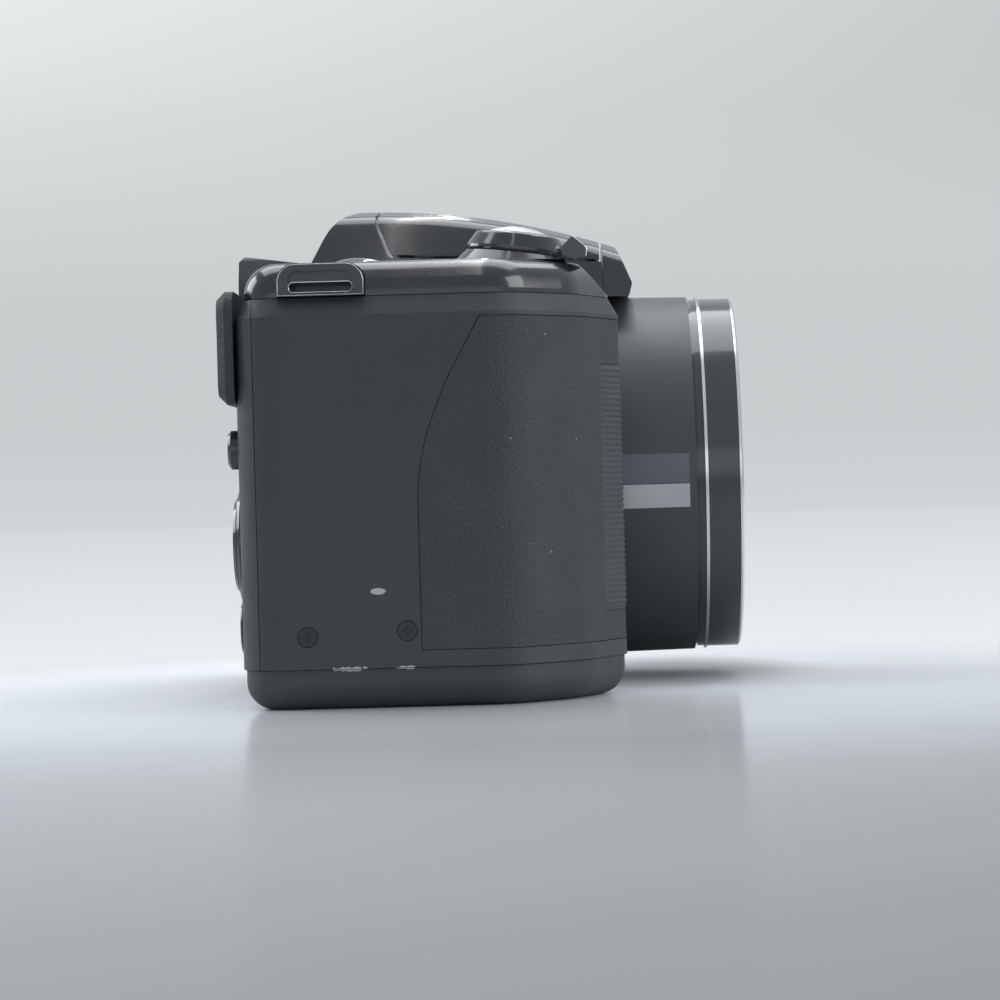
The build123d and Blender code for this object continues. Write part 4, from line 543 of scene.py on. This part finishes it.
LUG_Y = (-0.0056, 0.0071)
LUG_Z = (0.05995, 0.0647)
LUG_CORNER = 0.0026
SLOT_Z = (0.0605, 0.0620)
SLOT_HALF = 0.00465
LUG_INSET = 0.00014
LUG_EDGE = 0.00012
SLOT_EDGE = 0.0002
SLOT_ROUNDING = 2.2
LUG_FACES = (("grip", -0.06802, 0.0005), ("far", 0.04202, -0.0005))
for tag, x, deep in LUG_FACES:
    low_y, high_y = LUG_Y[0] + LUG_INSET, LUG_Y[1] - LUG_INSET
    top_z = LUG_Z[1] - LUG_INSET
    path = [(low_y, LUG_Z[0] + LUG_INSET)]
    path += reversed(arc(low_y + LUG_CORNER, top_z - LUG_CORNER, LUG_CORNER, 90, 180))
    path += reversed(arc(high_y - LUG_CORNER, top_z - LUG_CORNER, LUG_CORNER, 0, 90))
    path += [(high_y, LUG_Z[0] + LUG_INSET)]
    bead(f"lug_edge_{tag}", [(x, y, z) for y, z in path], LUG_EDGE, "body", edge_metal,
         closed=True)
    mid_y = (LUG_Y[0] + LUG_Y[1]) / 2
    low, high = SLOT_Z
    r = (high - low) / SLOT_ROUNDING
    turns = ((1, high - r, 0), (-1, high - r, 90), (-1, low + r, 180), (1, low + r, 270))
    slot_path = []
    for side, z, start in turns:
        slot_path += arc(mid_y + side * (SLOT_HALF - r), z, r, start, start + 90)
    bead(f"lug_slot_edge_{tag}", [(x + deep, y, z) for y, z in slot_path], SLOT_EDGE, "body",
         edge_metal, closed=True)

# Zoom lever and shutter button. The lever is a polished black ring with a nose for the finger,
# edged in bright metal, and the button in its middle is painted silver. The power button, the
# selector and the ring round the front glass are polished like the lever.
lever_gloss = moulded("lever_gloss", (0.014, 0.016, 0.018), roughness=0.12, grain_scale=5200.0,
                      depth=0.000004, dull=0.1, specks=0.5, Coat_Weight=0.8, Coat_Roughness=0.05)
dress(lever_gloss, "zoom_lever", "selector_bezel", "power_button", "multi_selector", "ok_button",
      "name_ring")
silver_paint = moulded("button_silver", (0.50, 0.51, 0.53), roughness=0.34, grain_scale=5200.0,
                       depth=0.000006, dull=0.12, Metallic=0.55)
dress(silver_paint, "shutter_button")
LEVER_AXIS = Vector((-0.0490, -0.0276, 0.0668))
LEVER_TILT = Matrix.Rotation(math.radians(7.5), 3, "X")
NOSE_SIDE = -0.00338
NOSE_BEAD = 0.00024
NOSE_EDGE = [(-0.0079, 0.00303), (-0.0084, 0.00282), (-0.0092, 0.00229), (-0.0100, 0.00175),
             (-0.01028, 0.00150), (-0.01038, 0.00118), (-0.01038, 0.0003)]
bead("lever_nose_edge", [LEVER_AXIS + LEVER_TILT @ Vector((NOSE_SIDE, y, z)) for y, z in NOSE_EDGE],
     NOSE_BEAD, "lever", edge_metal)

# Lens barrel. Three tubes of drawn aluminium, one in the other, painted satin black with a fine
# grain in the paint. The widest is fixed to the body, and the other two slide out of it.
barrel = moulded("barrel_satin", (0.053, 0.059, 0.063), roughness=0.36, grain_scale=6500.0,
                 depth=0.000012, dull=0.1, paler=0.15)
dress(barrel, "lens_outer_barrel", "zoom_outer_barrel", "zoom_inner_barrel")

# Lens nose. A ring of polished black plastic with a bright line behind it and a bright front edge,
# both plated.
nose_gloss = moulded("nose_gloss", (0.032, 0.035, 0.037), roughness=0.13, grain_scale=6500.0,
                     depth=0.000004, dull=0.1, Coat_Weight=0.7, Coat_Roughness=0.04)
dress(nose_gloss, "lens_front_ring")
plated = moulded("plated_trim", (0.72, 0.74, 0.76), roughness=0.16, grain_scale=6500.0, depth=0.000003,
                 dull=0.1, Metallic=1.0)
dress(plated, "silver_line_ring", "front_trim_ring")

# Bands on the barrel. Two thin pieces of film, a blue-grey one over a silver one, stuck to the
# side of the fixed tube and bent round with it.
LENS_HEIGHT = 0.0333
BARREL_START = -0.0161
BARREL_LENGTH = 0.0384
BARREL_REAR_RADIUS = 0.0296
BARREL_TAPER = 0.0007
BAND_LIFTS = (0.00003, -0.00025)
BAND_GAP = 0.3
BAND_ANGLES = (174.2, 183.3, 190.9)
BAND_REACH = (-0.0355, -0.0534)
BAND_STEPS = 24


def barrel_patch(name, start, end, material):
    # a piece of film that follows the barrel, its angle measured round the lens from +X
    bm = bmesh.new()
    sides = []
    for lift in BAND_LIFTS:
        rows = []
        for k in range(BAND_STEPS + 1):
            angle = math.radians(start + (end - start) * k / BAND_STEPS)
            line = []
            for y in BAND_REACH:
                share = (BARREL_START - y) / BARREL_LENGTH
                radius = BARREL_REAR_RADIUS - BARREL_TAPER * share + lift
                z = LENS_HEIGHT + radius * math.sin(angle)
                line.append(bm.verts.new((radius * math.cos(angle), y, z)))
            rows.append(line)
        sides.append(rows)
    for rows in sides:
        for k in range(BAND_STEPS):
            bm.faces.new((rows[k][0], rows[k][1], rows[k + 1][1], rows[k + 1][0]))
    a, b = sides
    for k in range(BAND_STEPS):
        for c in (0, 1):
            bm.faces.new((a[k][c], a[k + 1][c], b[k + 1][c], b[k][c]))
    for k in (0, BAND_STEPS):
        bm.faces.new((a[k][0], a[k][1], b[k][1], b[k][0]))
    bmesh.ops.recalc_face_normals(bm, faces=bm.faces)
    mesh = bpy.data.meshes.new(name)
    bm.to_mesh(mesh)
    bm.free()
    made = bpy.data.objects.new(name, mesh)
    bpy.context.scene.collection.objects.link(made)
    mesh.materials.append(material)
    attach(made, "body")


film = moulded("band_blue_grey", (0.105, 0.12, 0.135), roughness=0.4, grain_scale=6500.0,
               depth=0.000003)
foil = moulded("band_silver", (0.42, 0.44, 0.45), roughness=0.3, grain_scale=6500.0, depth=0.000003,
               Metallic=0.5)
barrel_patch("barrel_band_grey", BAND_ANGLES[0], BAND_ANGLES[1], film)
barrel_patch("barrel_band_silver", BAND_ANGLES[1] + BAND_GAP, BAND_ANGLES[2], foil)

# Glass and windows. Optical glass with a thin coating at the front of the lens, clear acrylic
# over the focus lamp and the screen's unlit panel, and a pale diffuser over the flash.
COATING_BLUE = (0.90, 0.95, 0.99)
COATING_AMBER = (0.97, 0.95, 0.93)
glass = bpy.data.materials.new("front_lens_glass")
glass.use_nodes = True
shader = glass.node_tree.nodes["Principled BSDF"]
shader.inputs["Base Color"].default_value = (0.93, 0.96, 0.97, 1)
shader.inputs["Roughness"].default_value = 0.02
shader.inputs["Transmission Weight"].default_value = 1.0
shader.inputs["IOR"].default_value = 1.5
uneven = wire(glass.node_tree, "ShaderNodeTexNoise", {"Scale": 60.0})
tint = wire(glass.node_tree, "ShaderNodeMix", {
    "Factor": uneven.outputs["Fac"], 6: (*COATING_BLUE, 1), 7: (*COATING_AMBER, 1)}, data_type="RGBA")
glass.node_tree.links.new(tint.outputs[2], shader.inputs["Base Color"])
dress(glass, "front_glass")
acrylic = moulded("window_acrylic", (0.012, 0.013, 0.015), roughness=0.05, grain_scale=6500.0,
                  depth=0.000001, dull=0.05, specks=0.2, Coat_Weight=1.0, Coat_Roughness=0.02)
dress(acrylic, "lcd_window", "focus_lamp_window")
panel = moulded("panel_unlit", (0.015, 0.016, 0.02), roughness=0.2)
dress(panel, "lcd_panel")
diffuser = moulded("flash_diffuser", (0.75, 0.77, 0.79), roughness=0.18, grain_scale=1500.0,
                   depth=0.00006)
dress(diffuser, "flash_window")

# Fittings. Blackened and plain steel screws and pins, plated contacts, turned brass, cast alloy,
# and the black mouldings, green boards and sleeved cells inside the body. The screws hold the
# covers, and the rest sits in the covers, on the chassis or in the tubes of the lens.
black_steel = moulded("screw_black", (0.04, 0.042, 0.046), roughness=0.34, grain_scale=5200.0,
                      depth=0.00001, Metallic=0.7)
dress(black_steel, "case_screws")
steel = moulded("steel_plain", (0.52, 0.53, 0.55), roughness=0.3, grain_scale=5200.0, depth=0.00001,
                Metallic=1.0)
dress(steel, "hinge_pins", "zoom_motor", "output_jacks")
spring = moulded("contact_plated", (0.66, 0.62, 0.52), roughness=0.28, grain_scale=5200.0,
                 depth=0.00001, Metallic=1.0)
dress(spring, "battery_contacts", "door_contacts")
brass = moulded("brass_turned", (0.62, 0.48, 0.24), roughness=0.3, grain_scale=5200.0, depth=0.00001,
                Metallic=1.0)
dress(brass, "tripod_socket", "zoom_pinion")
alloy = moulded("alloy_cast", (0.50, 0.51, 0.53), roughness=0.42, grain_scale=3000.0, depth=0.00003,
                Metallic=1.0)
dress(alloy, "chassis", "lens_base", "cam_ring", "flash_reflector")
inner = moulded("inner_black", (0.02, 0.021, 0.023), roughness=0.55, grain_scale=3600.0, depth=0.00003)
dress(inner, "battery_box", "lens_guide_tube", "selector_carrier", "sound_parts", "rear_lens_group",
      "image_sensor", "flash_capacitor")
board = moulded("board_green", (0.03, 0.14, 0.07), roughness=0.35, grain_scale=3600.0, depth=0.00002)
dress(board, "main_board", "switch_boards")
sleeve = moulded("cell_sleeve", (0.20, 0.22, 0.25), roughness=0.25, grain_scale=3600.0, depth=0.00001,
                 Coat_Weight=0.4)
dress(sleeve, "battery_cells")
